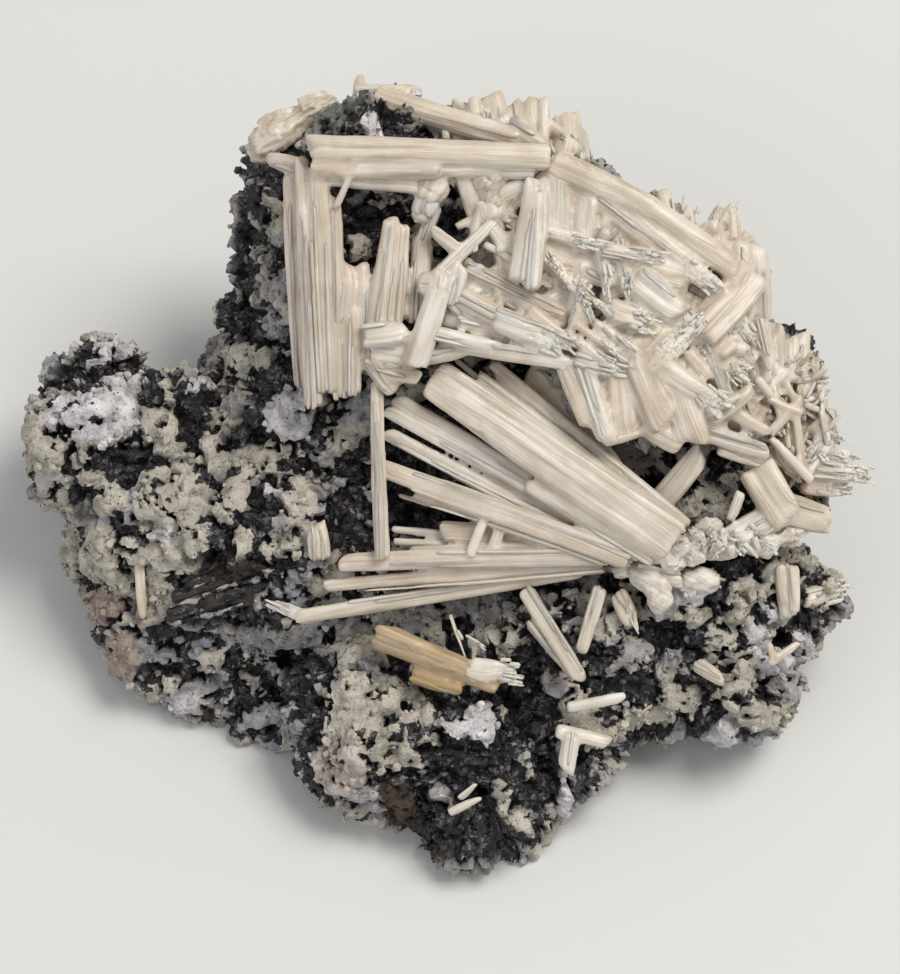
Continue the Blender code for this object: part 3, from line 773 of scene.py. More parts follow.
BOTTOM = (
    *coated(
        Cover.ORE,
        (-17, -19, 2.5, 1.8), (-13.2, -16.5, 0.8, 1.5), (2, -30, 5, 3), (4, -33, 5, 4),
        (9, -25, 3, 5), (3, -38, 5, 3.5), (-4, -36, 3, 4), (1, -17, 1.5, 3), (9, -19, 2, 2.5),
        (11, -30.5, 2.5, 4),
    ),
    *coated(Cover.SLATE, (14, -32, 1, 3)),
    *coated(Cover.CREAM, (-9.5, -18, 3.2, 2), (-8, -25, 6.5, 4.5)),
    *coated(Cover.PINK, (-12, -31, 3, 3)),
    *coated(Cover.GREY, (-8, -34.5, 2.5, 2)),
    *coated(Cover.CREAM, (-4, -29, 2, 2), (6, -16.5, 2.5, 2)),
    *coated(
        Cover.WHITE,
        (-1, -33.7, 1, 0.8), (3, -26, 1.8, 2), (1, -26.5, 1.5, 0.8), (7.2, -41, 1, 0.8),
    ),
    *coated(
        Cover.GREY,
        (2, -13, 1.2, 0.8), (4.7, -12, 1, 0.8), (7, -14, 1.2, 1.5), (11.5, -22, 1.5, 1.2),
    ),
    *coated(
        Cover.CREAM,
        (13, -24, 1.5, 1), (5.5, -33, 0.7, 1.2), (6, -35.5, 0.9, 1), (7.5, -37, 1.5, 0.8),
        (11, -37, 1.2, 1),
    ),
    *coated(Cover.WHITE, (12.3, -34, 0.5, 2.5)),
    *coated(Cover.CREAM, (15, -26, 2.8, 1.6), (14, -27.8, 2.5, 0.8), (19, -25, 2, 1.2)),
    *coated(Cover.WHITE, (12.7, -30, 1, 1.6)),
    *coated(Cover.HOLE, (6, -23, 1.4, 1.3)),
    *coated(
        Cover.RUST,
        (-5.7, -34.4, 1.8, 3.4, 20), (-1.5, -40, 1.6, 1.0), (-2.6, -29.2, 0.9, 0.7),
    ),
)
RIGHT = (
    *coated(
        Cover.ORE,
        (23, -16.5, 3, 2.5), (21.5, -22, 2.3, 1.3), (27.5, -22, 1.8, 2), (28, -27, 2.8, 1.4),
        (16.5, -19, 1.3, 1.2), (31.5, -9.2, 2, 0.7), (35, -23.5, 1, 2.5), (40.3, -3.5, 1.7, 1.5),
    ),
    *coated(Cover.SLATE, (39.7, -15.5, 1.3, 1.6)),
    *coated(Cover.SPECKLED, (21, 3, 3.4, 2.2), (28.5, -1.5, 4.0, 3.4), (30.5, 3, 1.8, 1.8)),
    *coated(Cover.WHITE, (30, -6.5, 4, 1.2), (27.5, -10.5, 2.5, 1.8)),
    *coated(Cover.CREAM, (22.5, -10, 2.5, 1.2), (33, -11.5, 2.2, 1.5), (36.5, -10, 2, 2)),
    *coated(Cover.WHITE, (23, -12.8, 1.4, 1.3)),
    *coated(Cover.CREAM, (27, -14, 2.5, 1.2), (31.5, -14, 1.5, 2)),
    *coated(
        Cover.WHITE,
        (35.5, -13.8, 2.2, 1), (33.5, -17, 1.5, 2.5), (36, -19.5, 2.5, 1), (38.5, -17, 1, 1.5),
    ),
    *coated(Cover.CREAM, (30.5, -18, 3, 2)),
    *coated(Cover.GREY, (24.8, -19, 1.6, 1.3)),
    *coated(Cover.CREAM, (25, -23, 2.5, 1.8)),
    *coated(Cover.GREY, (20.5, -18.5, 1.8, 1.2)),
    *coated(
        Cover.CREAM,
        (21.5, -25, 3, 1.2), (16, -26, 3.5, 1.8), (31.5, -22.5, 2, 2), (33, -25, 3, 1.8),
        (18.5, -14.5, 1.5, 2),
    ),
    *coated(Cover.WHITE, (30.5, -26.8, 1.5, 1.5)),
    # painted shade and painted blue reflected light
    *coated(Cover.PAINTED_SHADE_BLUE, (33.5, -27, 1.5, 1.2)),
    *coated(Cover.GREY, (37.5, -21.5, 1.5, 2)),
    *coated(
        Cover.ORE,
        (29.8, -13.5, 1, 1.2), (27.5, -18, 0.6, 0.6), (42.3, -13.5, 0.6, 0.6), (38.5, -9, 0.8, 0.8),
        (29.3, 3, 1.2, 1.5),
    ),
    *coated(Cover.HOLE, (36.2, -17, 0.9, 1.1)),
)
TOP = (
    *coated(Cover.ORE, (-22, 28, 2.5, 9), (-19, 36, 3, 3), (-8, 41, 7.5, 4.0), (-9, 29, 3, 2.5)),
    *coated(Cover.GREY, (-19, 27.3, 1, 1), (-19.3, 22.5, 1.2, 1.5)),
    *coated(Cover.CREAM, (-21, 26, 0.7, 0.7), (-18, 20, 1.2, 1.5), (-10, 26.5, 1.3, 1.5)),
    *coated(Cover.GREY, (-19.5, 19.5, 1.5, 1.2)),
    *coated(Cover.GREEN, (-11.5, 41, 3.5, 2.6)),
    *coated(Cover.WHITE, (-8.5, 40, 0.8, 2), (-4.5, 41.5, 1, 1)),
    *coated(Cover.MIXED, (-4.5, 40.5, 1.8, 1.6), (-13, 8, 2, 1.3)),
    *coated(Cover.SLATE, (0.5, 29.5, 2.5, 1.6)),
    *coated(Cover.CREAM, (-3, 24.5, 1.5, 3), (0, 19, 2, 1.5)),
)
MIDDLE = (
    *coated(
        Cover.CRYSTAL,
        (14, 26, 13, 8, -25), (23, 17, 13, 10, -35), (8, 18, 9, 4, -20), (31, 13, 7, 9),
        (37.5, 8, 5, 8),
    ),
    *coated(Cover.ORE, (8.5, 23.5, 1.3, 1.5), (0, 1, 9, 9)),
    *coated(Cover.BROWN, (11, 4, 5, 6, 30)),
    *coated(Cover.MIXED, (4, -11, 12, 2.5)),
    *coated(Cover.CRYSTAL, (5.5, 38.2, 8, 3.4, -12)),
)


@dataclass(frozen=True)
class RockBlock:
    """The loose block of galena under its crust, with the crust beds of the crystals on it."""

    body: tuple[Lump, ...]
    back: tuple[Lump, ...]
    beds: tuple[Lump, ...]
    patches: tuple[Patch, ...]
    grain: float = 1.3  # the smallest form kept in the block's first shape
    roughness: float = 1.5  # height of its lumps and hollows
    spacing: float = 8.0  # and their distance apart
    detail: float = 0.46  # the smallest form kept in the finished surface
    largest: int = 190_000  # triangles

    def first_shape(self) -> bpy.types.Mesh:
        """Fuses and roughens the masses in the same way as the solids were."""
        fused = modified(
            lumps_mesh(self.body + self.back),
            ("REMESH", {"mode": "VOXEL", "voxel_size": self.grain}),
            ("SMOOTH", {"iterations": 4}),
        )
        for vert in fused.vertices:
            broad = noise.fractal(vert.co / self.spacing, 0.8, 2.1, 3)
            steps = noise.cell(vert.co / (self.spacing * 0.45))
            vert.co += vert.normal * (broad * self.roughness + (steps - 0.5) * self.roughness * 0.4)
        return fused

    def covers(
        self, points: np.ndarray, facing: np.ndarray
    ) -> tuple[np.ndarray, np.ndarray, np.ndarray, np.ndarray]:
        """Works out what covers each point of the rock.

        Args:
            points: rows of x, y and z in millimetres.
            facing: how far each point's surface turns to the eye.

        Returns:
            The cover's colour, how much of it there is, its lift and its grains' height.
        """
        broad = noisy(points, 6.0, fractal)
        small = noisy(points, 1.9, fractal)
        tiny = noisy(points, 0.9, fractal)
        share = np.clip((broad * 0.9 + small * 0.6 - 0.08) * 3 + 0.5, 0, 1)
        cream = np.array(linear(Cover.CREAM.value.colour)[:3])
        dull = np.array(linear(Cover.GREY.value.colour)[:3])
        turn = np.clip(noisy(points + 40.0, 5.0, fractal) * 2 + 0.5, 0, 1)[:, None]
        colour = cream * (1 - turn) + dull * turn
        pale = share.copy()
        lift = share * 0.5
        knobs = share * 0.4
        seen = FACE.seen(points)
        front = np.clip(facing / 0.15, 0, 1)
        for patch in self.patches:
            angle = math.radians(patch.roll)
            right = seen[:, 0] - patch.across
            above = seen[:, 1] - patch.up
            along = (right * math.cos(angle) + above * math.sin(angle)) / patch.half_across
            over = (above * math.cos(angle) - right * math.sin(angle)) / patch.half_up
            uneven = (small * 0.55 + tiny * 0.35) / max(1.0, min(patch.half_across, patch.half_up))
            reach = np.hypot(along, over) + uneven
            weight = np.clip((1.05 - reach) / 0.15, 0, 1) * front
            coat: Coat = patch.cover.value
            dome = np.sqrt(np.clip(1 - reach * reach, 0, 1)) * 0.6 + 0.4
            colour += (np.array(linear(coat.colour)[:3]) - colour) * weight[:, None]
            pale += (coat.pale - pale) * weight
            lift += (coat.lift * dome - lift) * weight
            knobs += (coat.knobs - knobs) * weight
        wide = noisy(points + 70.0, 3.6, fractal)
        uneven = 0.5 * noisy(points + 70.0, 1.4, fractal) + 0.35 * tiny + 0.5 * wide
        mixed = 0.13 + 0.6 * pale + 0.95 * uneven
        colour = colour * (1 + 0.22 * noisy(points + 20.0, 2.6, fractal))[:, None]
        crusted = np.clip((mixed - 0.42) / 0.16, 0, 1)
        lift += (crusted - np.clip(pale, 0, 1)) * 0.5
        return colour, crusted, lift, knobs

    def build(self) -> bpy.types.Mesh:
        """Builds the finished surface, with its covers as attributes, cut flat at the base."""
        rough = bmesh.new()
        rough.from_mesh(self.first_shape())
        rough.from_mesh(lumps_mesh(self.beds))
        whole = bpy.data.meshes.new("rock")
        rough.to_mesh(whole)
        rough.free()
        size = self.detail
        whole = modified(whole, ("REMESH", {"mode": "VOXEL", "voxel_size": size}))
        points = coordinates(whole)
        normals = coordinates(whole, "normal")
        facing = FACE.facing(points, normals)
        colour, pale, lift, knobs = self.covers(points, facing)
        small_steps = noisy(points, 0.8, noise.cell)
        bumps = noisy(points, 1.7, grapes) + 0.5 * noisy(points, 0.8, grapes) - 0.7
        steps = noisy(points, 1.9, noise.cell) * 0.5 + small_steps * 0.25 - 0.38
        fine = noisy(points, 0.9, fractal)
        rugged = noisy(points + 15.0, 3.2, fractal)
        pits = np.minimum(rugged + 0.42, 0) * 3
        height = lift + knobs * 1.3 * bumps + (1 - pale) * steps * 1.4 + fine * 0.25
        height += rugged * 0.7 + pits
        moved = points + normals * height[:, None]
        whole.vertices.foreach_set("co", moved.ravel())
        put_attribute(whole, "pale", pale)
        put_attribute(whole, "cover", colour)
        return self.cut(whole)

    def cut(self, whole: bpy.types.Mesh) -> bpy.types.Mesh:
        """Cuts the block flat at its base and keeps it inside the solids' box.

        Args:
            whole: the finished surface in millimetres.

        Returns:
            The mesh in metres.
        """
        mesh = bmesh.new()
        mesh.from_mesh(whole)
        geometry = [*mesh.verts, *mesh.edges, *mesh.faces]
        bmesh.ops.bisect_plane(
            mesh, geom=geometry, plane_co=(0, 0, 0.01), plane_no=(0, 0, 1), clear_inner=True
        )
        rim = [edge for edge in mesh.edges if edge.is_boundary]
        bmesh.ops.holes_fill(mesh, edges=rim, sides=0)
        lids = [face for face in mesh.faces if len(face.verts) > 4]
        bmesh.ops.triangulate(mesh, faces=lids)
        mesh.to_mesh(whole)
        mesh.free()
        triangles = sum(len(face.vertices) - 2 for face in whole.polygons)
        if triangles > self.largest:
            ratio = self.largest / triangles
            whole = modified(whole, ("DECIMATE", {"ratio": ratio}))
        whole.vertices.foreach_set("co", (inside_box(coordinates(whole)) * MM).ravel())
        whole.update()
        return whole


# Crystals


@dataclass(frozen=True)
class Stem:
    """A plain column, one long and two across, that crystals take their faces from."""

    turns: np.ndarray  # how far round it each point is, in radians
    levels: np.ndarray  # how far along it, from 0 to 1
    rims: np.ndarray  # 1 on its side, less on its ends, 0 in their middle
    faces: tuple[tuple[int, ...], ...]


@cache
def stem(sides: int, rings: int, insets: int) -> Stem:
    """Models a plain column.

    Args:
        sides: the number of its long faces.
        rings: the number of faces along it.
        insets: the number of rings on each end.

    Returns:
        The column.
    """
    mesh = bmesh.new()
    bmesh.ops.create_cone(mesh, cap_ends=True, segments=sides, radius1=1.0, radius2=1.0, depth=1.0)
    bmesh.ops.translate(mesh, vec=(0, 0, 0.5), verts=mesh.verts)
    upright = [e for e in mesh.edges if abs(e.verts[0].co.z - e.verts[1].co.z) > 0.5]
    bmesh.ops.subdivide_edges(mesh, edges=upright, cuts=rings - 1)
    ends = [face for face in mesh.faces if abs(face.normal.z) > 0.9]
    for _ in range(insets):
        bmesh.ops.inset_individual(mesh, faces=ends, thickness=0.3, use_even_offset=True)
    bmesh.ops.poke(mesh, faces=ends)
    mesh.verts.index_update()
    points = np.array([vert.co for vert in mesh.verts])
    faces = tuple(tuple(vert.index for vert in face.verts) for face in mesh.faces)
    mesh.free()
    turns = np.arctan2(points[:, 1], points[:, 0])
    rims = np.minimum(np.hypot(points[:, 0], points[:, 1]), 1.0)
    return Stem(turns, points[:, 2], rims, faces)


@dataclass(frozen=True)
class Growth:
    """How a kind of crystal grew and broke, in millimetres unless said otherwise."""

    rib: float  # from one rib to the next
    relief: float  # the ribs' height
    ragged: float  # by how much parts of it stop short of its tip
    step: float  # the height of the layers that end along it
    square: float = 3.4  # 2 is round, more is squarer
    splinters: float = 0.0  # for each millimetre of its width
    splay: float = 12.0  # degrees that the splinters spread
    wear: float = 0.0  # weathering at the tip, from 0 to 1
    worn_from: float = 1.0  # where along the crystal the weathering starts
    tones: tuple[float, float] = (0.05, 0.5)


class Habit(Enum):
    """The crystals' habits."""

    PRISM = Growth(0.8, 0.05, 0.9, 0.1, 3.2)
    COLUMN = Growth(0.9, 0.08, 1.0, 0.12, 3.4, tones=(0.25, 0.6))
    BLADE = Growth(0.9, 0.05, 1.0, 0.1, 4.0, tones=(0.15, 0.5))
    SILKY = Growth(0.35, 0.05, 1.2, 0.1, 3.2, tones=(0.0, 0.2))
    NEEDLE = Growth(0.5, 0.03, 0.5, 0.05, tones=(0.0, 0.4))
    WORN = Growth(0.4, 0.13, 2.2, 0.25, 3.0, 8.0, 9.0, 1.0, 0.1)
    FRAYED = Growth(0.45, 0.08, 1.7, 0.2, 3.2, 5.0, 7.0, 0.8, 0.5)
    CHALKY = Growth(0.9, 0.1, 0.6, 0.05, 2.6, wear=0.1, worn_from=0.0, tones=(0.0, 0.12))
    GOLDEN = Growth(0.5, 0.08, 1.2, 0.22, tones=(0.85, 1.0))
    WEATHERED = Growth(0.5, 0.1, 1.2, 0.2, 3.0, 2.0, 12.0, 0.45, 0.0, (0.3, 0.7))


SPLINTER = Growth(0.4, 0.03, 0.5, 0.0, 2.6)

RINGS = (3, 6, 10, 16, 26, 40, 60)  # how many faces a crystal may have along it
RING_SPACING = 0.55  # millimetres along it that a face should cover
BROAD = 2.6  # millimetres of width and thickness together that need more faces round it
SLENDER = 0.7  # millimetres, a crystal up to this is kept out of the common skin
LAYERED = 1.6  # millimetres, a crystal broader than this carries layers
LAYER = 0.9  # millimetres of its width for each of them
BOW = 0.007  # of its length that a crystal bends
WANDER = 0.012  # millimetres that it strays from straight


@dataclass(frozen=True)
class Lath:
    """One crystal, from its foot to its tip."""

    foot: Point
    tip: Point
    wide: float
    thick: float
    habit: Habit | None = None


@dataclass(frozen=True)
class Body:
    """What the surface of one crystal takes from that crystal."""

    axes: np.ndarray  # across, through and along it, as rows
    foot: np.ndarray
    length: float
    tone: float
    wear: tuple[float, float]  # at its tip, and where along it that starts
    shift: tuple[float, float]  # moves the striations of one crystal against the next


class Pile:
    """Surfaces of crystals, gathered before they are joined."""

    def __init__(self) -> None:
        """Starts an empty pile."""
        self.points: list[np.ndarray] = []
        self.faces: list[tuple[int, ...]] = []
        self.owners: list[int] = []  # the crystal of each face
        self.count = 0

    def add(self, points: np.ndarray, faces: Sequence[tuple[int, ...]], owner: int) -> None:
        """Adds the surface of one crystal.

        Args:
            points: its points.
            faces: the corners of each of its faces.
            owner: the number of the crystal.
        """
        self.points.append(points)
        self.faces.extend(tuple(i + self.count for i in face) for face in faces)
        self.owners.extend([owner] * len(faces))
        self.count += len(points)

    def plain(self) -> tuple[np.ndarray, list[tuple[int, ...]], np.ndarray]:
        """Gives the points, the faces and each point's crystal as they are."""
        if not self.points:
            return np.empty((0, 3)), [], np.empty(0, dtype=int)
        owners = np.empty(self.count, dtype=int)
        for face, owner in zip(self.faces, self.owners):
            owners[list(face)] = owner
        return np.concatenate(self.points), self.faces, owners

    def fused(self, detail: float) -> tuple[np.ndarray, list[tuple[int, ...]], np.ndarray]:
        """Grows the crystals together in one skin.

        Args:
            detail: the smallest form that is kept, in millimetres.

        Returns:
            The skin's points, its faces and the crystal that each point lies on.
        """
        if not self.points:
            return self.plain()
        points = np.concatenate(self.points).tolist()
        rough = bpy.data.meshes.new("rough")
        rough.from_pydata(points, [], self.faces)
        whole = modified(
            rough, ("REMESH", {"mode": "VOXEL", "voxel_size": detail}), ("SMOOTH", {"iterations": 2})
        )
        tree = BVHTree.FromPolygons(points, self.faces)
        fresh = coordinates(whole)
        owners = [self.owners[tree.find_nearest(Vector(place))[2]] for place in fresh]
        return fresh, [tuple(face.vertices) for face in whole.polygons], np.array(owners)


class Bundle:
    """A mesh gathered from many crystals that are grown together."""

    def __init__(self, seed: int) -> None:
        """Starts an empty bundle.

        Args:
            seed: picks the irregularities of all its crystals.
        """
        self.chance = random.Random(seed)
        self.bodies: list[Body] = []
        self.stout = Pile()
        self.slender = Pile()

    def ripple(self, place: np.ndarray, spacing: float, drift: np.ndarray | float = 0.0) -> np.ndarray:
        """Makes uneven waves.

        Args:
            place: where along the waves, in millimetres.
            spacing: from one wave to the next, in millimetres.
            drift: how the waves shift.

        Returns:
            Heights from about -1 to 1.
        """
        total = np.zeros(len(place))
        for _ in range(4):
            pace = math.tau / (spacing * self.chance.uniform(0.6, 2.4))
            shift = drift * self.chance.uniform(-0.015, 0.015) + self.chance.uniform(0, math.tau)
            total += np.sin(place * pace + shift)
        return total / 2.4

    def column(self, place: Matrix, size: Point, growth: Growth, fine: bool = True) -> None:
        """Adds one crystal body with its ribs, layers and broken tip.

        Args:
            place: where its foot is and how it lies.
            size: across, through and along, in millimetres.
            growth: how it grew.
            fine: whether it is more than a splinter.
        """
        wide, thick, length = size
        if fine:
            rings = min(RINGS, key=lambda count: abs(count - length / RING_SPACING))
            shape = stem(24 if wide + thick > BROAD else 16, rings, 2)
        else:
            shape = stem(6, 3, 0)
        chance = self.chance
        level, rim = shape.levels, shape.rims
        cosine, sine = np.cos(shape.turns), np.sin(shape.turns)
        power = growth.square
        reach = (np.abs(cosine) ** power + np.abs(sine) ** power) ** (-1 / power) * rim
        along = level * length
        girth = shape.turns / math.tau * 2 * (wide + thick)
        short = np.clip(0.5 + 0.5 * np.round(self.ripple(girth, 2.5 * growth.rib) * 2) / 2, 0, 1)
        short *= min(growth.ragged, length * 0.35) * rim**2
        ending = 0.72 + 0.25 * self.ripple(girth, 3 * growth.rib)
        layer = np.clip((level - ending) * length / 0.5, 0, 1) * growth.step
        swell = growth.relief * self.ripple(girth, growth.rib, along) - layer
        blunt = np.abs(level - 0.5) > 0.499  # its two ends, a little narrower than the rest
        taper = 1 - chance.uniform(-0.03, 0.13) * level**2 + 0.01 * self.ripple(along, 5.0)
        taper -= 0.05 * blunt
        slant = chance.uniform(-0.28, 0.28) * cosine * wide * rim * level**8
        bend = np.sin(math.pi * level) * length * BOW
        points = np.stack(
            [
                (cosine * reach * wide / 2 * taper + cosine * swell * rim)
                + bend * chance.uniform(-1, 1)
                + WANDER * self.ripple(along, 4.0),
                (sine * reach * thick / 2 * taper + sine * swell * rim)
                + bend * chance.uniform(-1, 1)
                + WANDER * self.ripple(along, 4.0),
                level * (length - short) + (1 - level) * short * 0.4 + slant,
            ],
            axis=1,
        )
        moved = points @ np.array(place.to_3x3()).T + np.array(place.translation)
        pile = self.stout if fine and min(wide, thick) > SLENDER else self.slender
        pile.add(moved, shape.faces, len(self.bodies) - 1)

    def crystal(self, lath: Lath, usual: Habit) -> None:
        """Adds one crystal, with layers on it where it is broad and splinters where it is frayed.

        Args:
            lath: the crystal.
            usual: the habit of a crystal that names none.
        """
        growth: Growth = (lath.habit or usual).value
        chance = self.chance
        foot = FACE.point(*lath.foot)
        tip = FACE.point(*lath.tip)
        along = (tip - foot).normalized()
        side = along.cross(FACE.out).normalized()
        front = along.cross(side)
        if front.dot(FACE.out) < 0:
            side.negate()
            front.negate()
        length = (tip - foot).length
        tone = chance.uniform(*growth.tones)
        wear = (growth.wear * chance.uniform(0.7, 1.2), growth.worn_from + chance.uniform(-0.1, 0.1))

        def lie(heading: Vector, start: Vector) -> Matrix:
            """Makes the place of a body from its direction and its foot."""
            across = (side - heading * side.dot(heading)).normalized()
            place = Matrix((across, heading.cross(across), heading)).transposed().to_4x4()
            place.translation = start
            return place

        axes = np.array(lie(along, foot).to_3x3()).T
        shift = (chance.uniform(0, 50), chance.uniform(0, 50))
        self.bodies.append(Body(axes, np.array(foot), length, tone, wear, shift))
        self.column(lie(along, foot), (lath.wide, lath.thick, length), growth)
        for _ in range(round(lath.wide / LAYER) if lath.wide > LAYERED else 0):
            part = chance.uniform(0.18, 0.42)
            across = chance.uniform(-0.5, 0.5) * (1 - part) * lath.wide
            thick = lath.thick * chance.uniform(0.45, 0.8)
            rise = (lath.thick - thick) / 2 + chance.uniform(0.08, 0.3)
            start = foot + side * across + front * rise - along * chance.uniform(0, 0.3)
            reach = length * chance.uniform(0.5, 0.98)
            heading = (along + side * chance.uniform(-0.02, 0.02)).normalized()
            size = (part * lath.wide, thick, reach)
            self.column(lie(heading, start), size, growth)
        spread = math.radians(growth.splay)
        for _ in range(round(growth.splinters * lath.wide)):
            begins = min(0.95, growth.worn_from + (1 - growth.worn_from) * chance.random() ** 0.6)
            turn = Matrix.Rotation(chance.gauss(0, spread), 3, front)
            tilt = Matrix.Rotation(chance.gauss(0, spread * 0.7), 3, side)
            heading = (tilt @ turn @ along).normalized()
            start = foot + along * (length * begins - 0.6) + side * (chance.uniform(-0.5, 0.5) * lath.wide)
            start += front * (lath.thick * chance.uniform(0.1, 0.5))
            size = (chance.uniform(0.2, 0.5), chance.uniform(0.15, 0.32), chance.uniform(0.8, 2.4))
            self.column(lie(heading, start), size, SPLINTER, False)

    def mesh(self, name: str, detail: float) -> bpy.types.Mesh:
        """Joins the crystals in one mesh with their map and attributes.

        Args:
            name: the mesh's name.
            detail: the smallest form that is kept, in millimetres.

        Returns:
            The mesh.
        """
        fresh, faces, owners = self.stout.fused(detail)
        loose, sides, holders = self.slender.plain()
        points = np.concatenate([fresh, loose])
        owners = np.concatenate([owners, holders])
        faces = faces + [tuple(i + len(fresh) for i in side) for side in sides]
        made = gathered(points, faces, name)
        bodies = self.bodies
        axes = np.array([body.axes for body in bodies])
        feet = np.array([body.foot for body in bodies])
        shift = np.array([body.shift for body in bodies])

        # a face takes its striations whole from one crystal, so they never bend at a seam
        corners = np.array([i for face in faces for i in face])
        holds = np.repeat([owners[face[0]] for face in faces], [len(face) for face in faces])
        spread = np.einsum("nij,nj->ni", axes[holds], points[corners] - feet[holds])
        strands = np.stack([spread[:, 0] + spread[:, 1], spread[:, 2]], axis=1) + shift[holds]
        made.uv_layers.new(name="strands")
        made.uv_layers["strands"].data.foreach_set("uv", strands.ravel())

        # each point takes its tone and its weathering from its crystal
        put_attribute(made, "tone", np.array([body.tone for body in bodies])[owners])
        local = np.einsum("nij,nj->ni", axes[owners], points - feet[owners])
        level = local[:, 2] / np.array([body.length for body in bodies])[owners]
        worst, begins = np.array([body.wear for body in bodies])[owners].T
        reach = np.clip((level - begins) / np.maximum(0.05, 1 - begins), 0, 1)
        put_attribute(made, "wear", worst * reach**0.6)
        return made


HEADINGS = (-38, -30, 35, 62, 95, -72)  # degrees from level that a thicket's crystals point


@dataclass(frozen=True)
class Thicket:
    """An oval place on the face that is filled with small crystals."""

    across: float
    up: float
    half_across: float
    half_up: float
    out: float
    count: int
    roll: float = 0.0
    lengths: tuple[float, float] = (2.4, 6.0)
    widths: tuple[float, float] = (0.8, 2.0)
    habits: tuple[Habit, ...] = (Habit.PRISM,) * 3 + (Habit.CHALKY, Habit.FRAYED)

    def laths(self, chance: random.Random) -> list[Lath]:
        """Lays out its crystals.

        Args:
            chance: picks their places.

        Returns:
            The crystals.
        """
        found = []
        turn = math.radians(self.roll)
        for _ in range(self.count):
            angle, reach = chance.uniform(0, math.tau), math.sqrt(chance.random())
            right = self.half_across * reach * math.cos(angle)
            above = self.half_up * reach * math.sin(angle)
            across = self.across + right * math.cos(turn) - above * math.sin(turn)
            up = self.up + right * math.sin(turn) + above * math.cos(turn)
            heading = math.radians(chance.choice(HEADINGS) + chance.gauss(0, 11))
            half = chance.uniform(*self.lengths) / 2
            wide = chance.uniform(*self.widths)
            out = self.out + chance.uniform(-0.5, 0.6)
            rise = chance.uniform(-0.8, 1.1)
            ahead = half * math.cos(heading)
            over = half * math.sin(heading)
            foot = (across - ahead, up - over, out - rise)
            tip = (across + ahead, up + over, out + rise)
            thick = wide * chance.uniform(0.7, 1.0)
            found.append(Lath(foot, tip, wide, thick, chance.choice(self.habits)))
        return found


@dataclass(frozen=True)
class CrystalGroup:
    """Crystals that grew together in one piece."""

    name: str
    stands_for: tuple[str, ...]
    habit: Habit
    laths: tuple[Lath, ...]
    seed: int
    slot: str = "cerussite"
    thickets: tuple[Thicket, ...] = ()
    cover: Cover | None = None  # for slabs of the rock itself
    detail: float = 0.26  # the smallest form kept where crystals grow together

    def build(self) -> bpy.types.Mesh:
        """Builds all its crystals."""
        bundle = Bundle(self.seed)
        for lath in self.laths:
            bundle.crystal(lath, self.habit)
        chance = random.Random(self.seed + 100)
        for thicket in self.thickets:
            for lath in thicket.laths(chance):
                bundle.crystal(lath, self.habit)
        made = bundle.mesh(self.name, self.detail)
        if self.cover:
            self.roughen(made, self.cover.value)
        return made

    def roughen(self, made: bpy.types.Mesh, coat: Coat) -> None:
        """Makes the crystals look like slabs of the rock.

        Args:
            made: their mesh.
            coat: what covers them.
        """
        points = coordinates(made) / MM
        uneven = noisy(points, 1.3, fractal)
        height = 0.3 * uneven + 0.15 * noisy(points, 0.6, fractal)
        moved = points + coordinates(made, "normal") * height[:, None]
        made.vertices.foreach_set("co", (inside_box(moved) * MM).ravel())
        tint = np.array(linear(coat.colour)[:3])
        put_attribute(made, "cover", np.tile(tint, (len(made.vertices), 1)))
        put_attribute(made, "pale", np.clip(coat.pale - 0.35 + uneven, 0, 1))

    def dress(self, finish: bpy.types.Material) -> bpy.types.Object:
        """Builds the group and puts it in the scene.

        Args:
            finish: its material.

        Returns:
            The object.
        """
        return show(self.name, self.build(), finish, self.stands_for, True, 0.0)


@dataclass(frozen=True)
class GrownMass:
    """A rounded mass of crystals grown together so closely that few of them show."""

    name: str
    stands_for: tuple[str, ...]
    lumps: tuple[Lump, ...]
    tone: float
    wear: float
    turn: float = -35.0  # degrees from level that its crystals run along the face
    blocks: float = 0.6  # millimetres between the heights of neighbouring crystals
    knobs: float = 0.25  # millimetres, the height of its rounded grains
    slot: str = "cerussite"
    detail: float = 0.32

    def dress(self, finish: bpy.types.Material) -> bpy.types.Object:
        """Builds the mass and puts it in the scene.

        Args:
            finish: its material.

        Returns:
            The object.
        """
        made = modified(
            lumps_mesh(self.lumps),
            ("REMESH", {"mode": "VOXEL", "voxel_size": self.detail}),
            ("SMOOTH", {"iterations": 3}),
        )
        points = coordinates(made)
        seen = FACE.seen(points)
        angle = math.radians(self.turn)
        along = seen[:, 0] * math.cos(angle) + seen[:, 1] * math.sin(angle)
        over = seen[:, 1] * math.cos(angle) - seen[:, 0] * math.sin(angle)
        bricks = np.stack([along / 4.5, over / 1.5, seen[:, 2] / 2.5], axis=1)
        crossing = np.stack([over / 4.0, along / 1.7, seen[:, 2] / 2.5], axis=1) + 9.0
        height = self.blocks * (noisy(bricks, 1.0, noise.cell) + noisy(crossing, 1.0, noise.cell) - 1)
        height += self.knobs * (noisy(points, 1.5, grapes) + 0.5 * noisy(points, 0.7, grapes) - 0.9)
        height += noisy(points, 1.2, fractal) * 0.15
        moved = points + coordinates(made, "normal") * height[:, None]
        made.vertices.foreach_set("co", (inside_box(moved) * MM).ravel())
        strands = np.stack([over, along], axis=1)
        corners = np.empty(len(made.loops), dtype=np.int32)
        made.loops.foreach_get("vertex_index", corners)
        made.uv_layers.new(name="strands")
        made.uv_layers["strands"].data.foreach_set("uv", strands[corners].ravel())
        put_attribute(made, "tone", np.clip(self.tone + noisy(points, 3.0, fractal) * 0.2, 0, 0.7))
        put_attribute(made, "wear", np.clip(self.wear + noisy(points, 2.0, fractal) * 0.4, 0, 1))
        made.update()
        return show(self.name, made, finish, self.stands_for, smooth=True)


# Crumbs on the rock


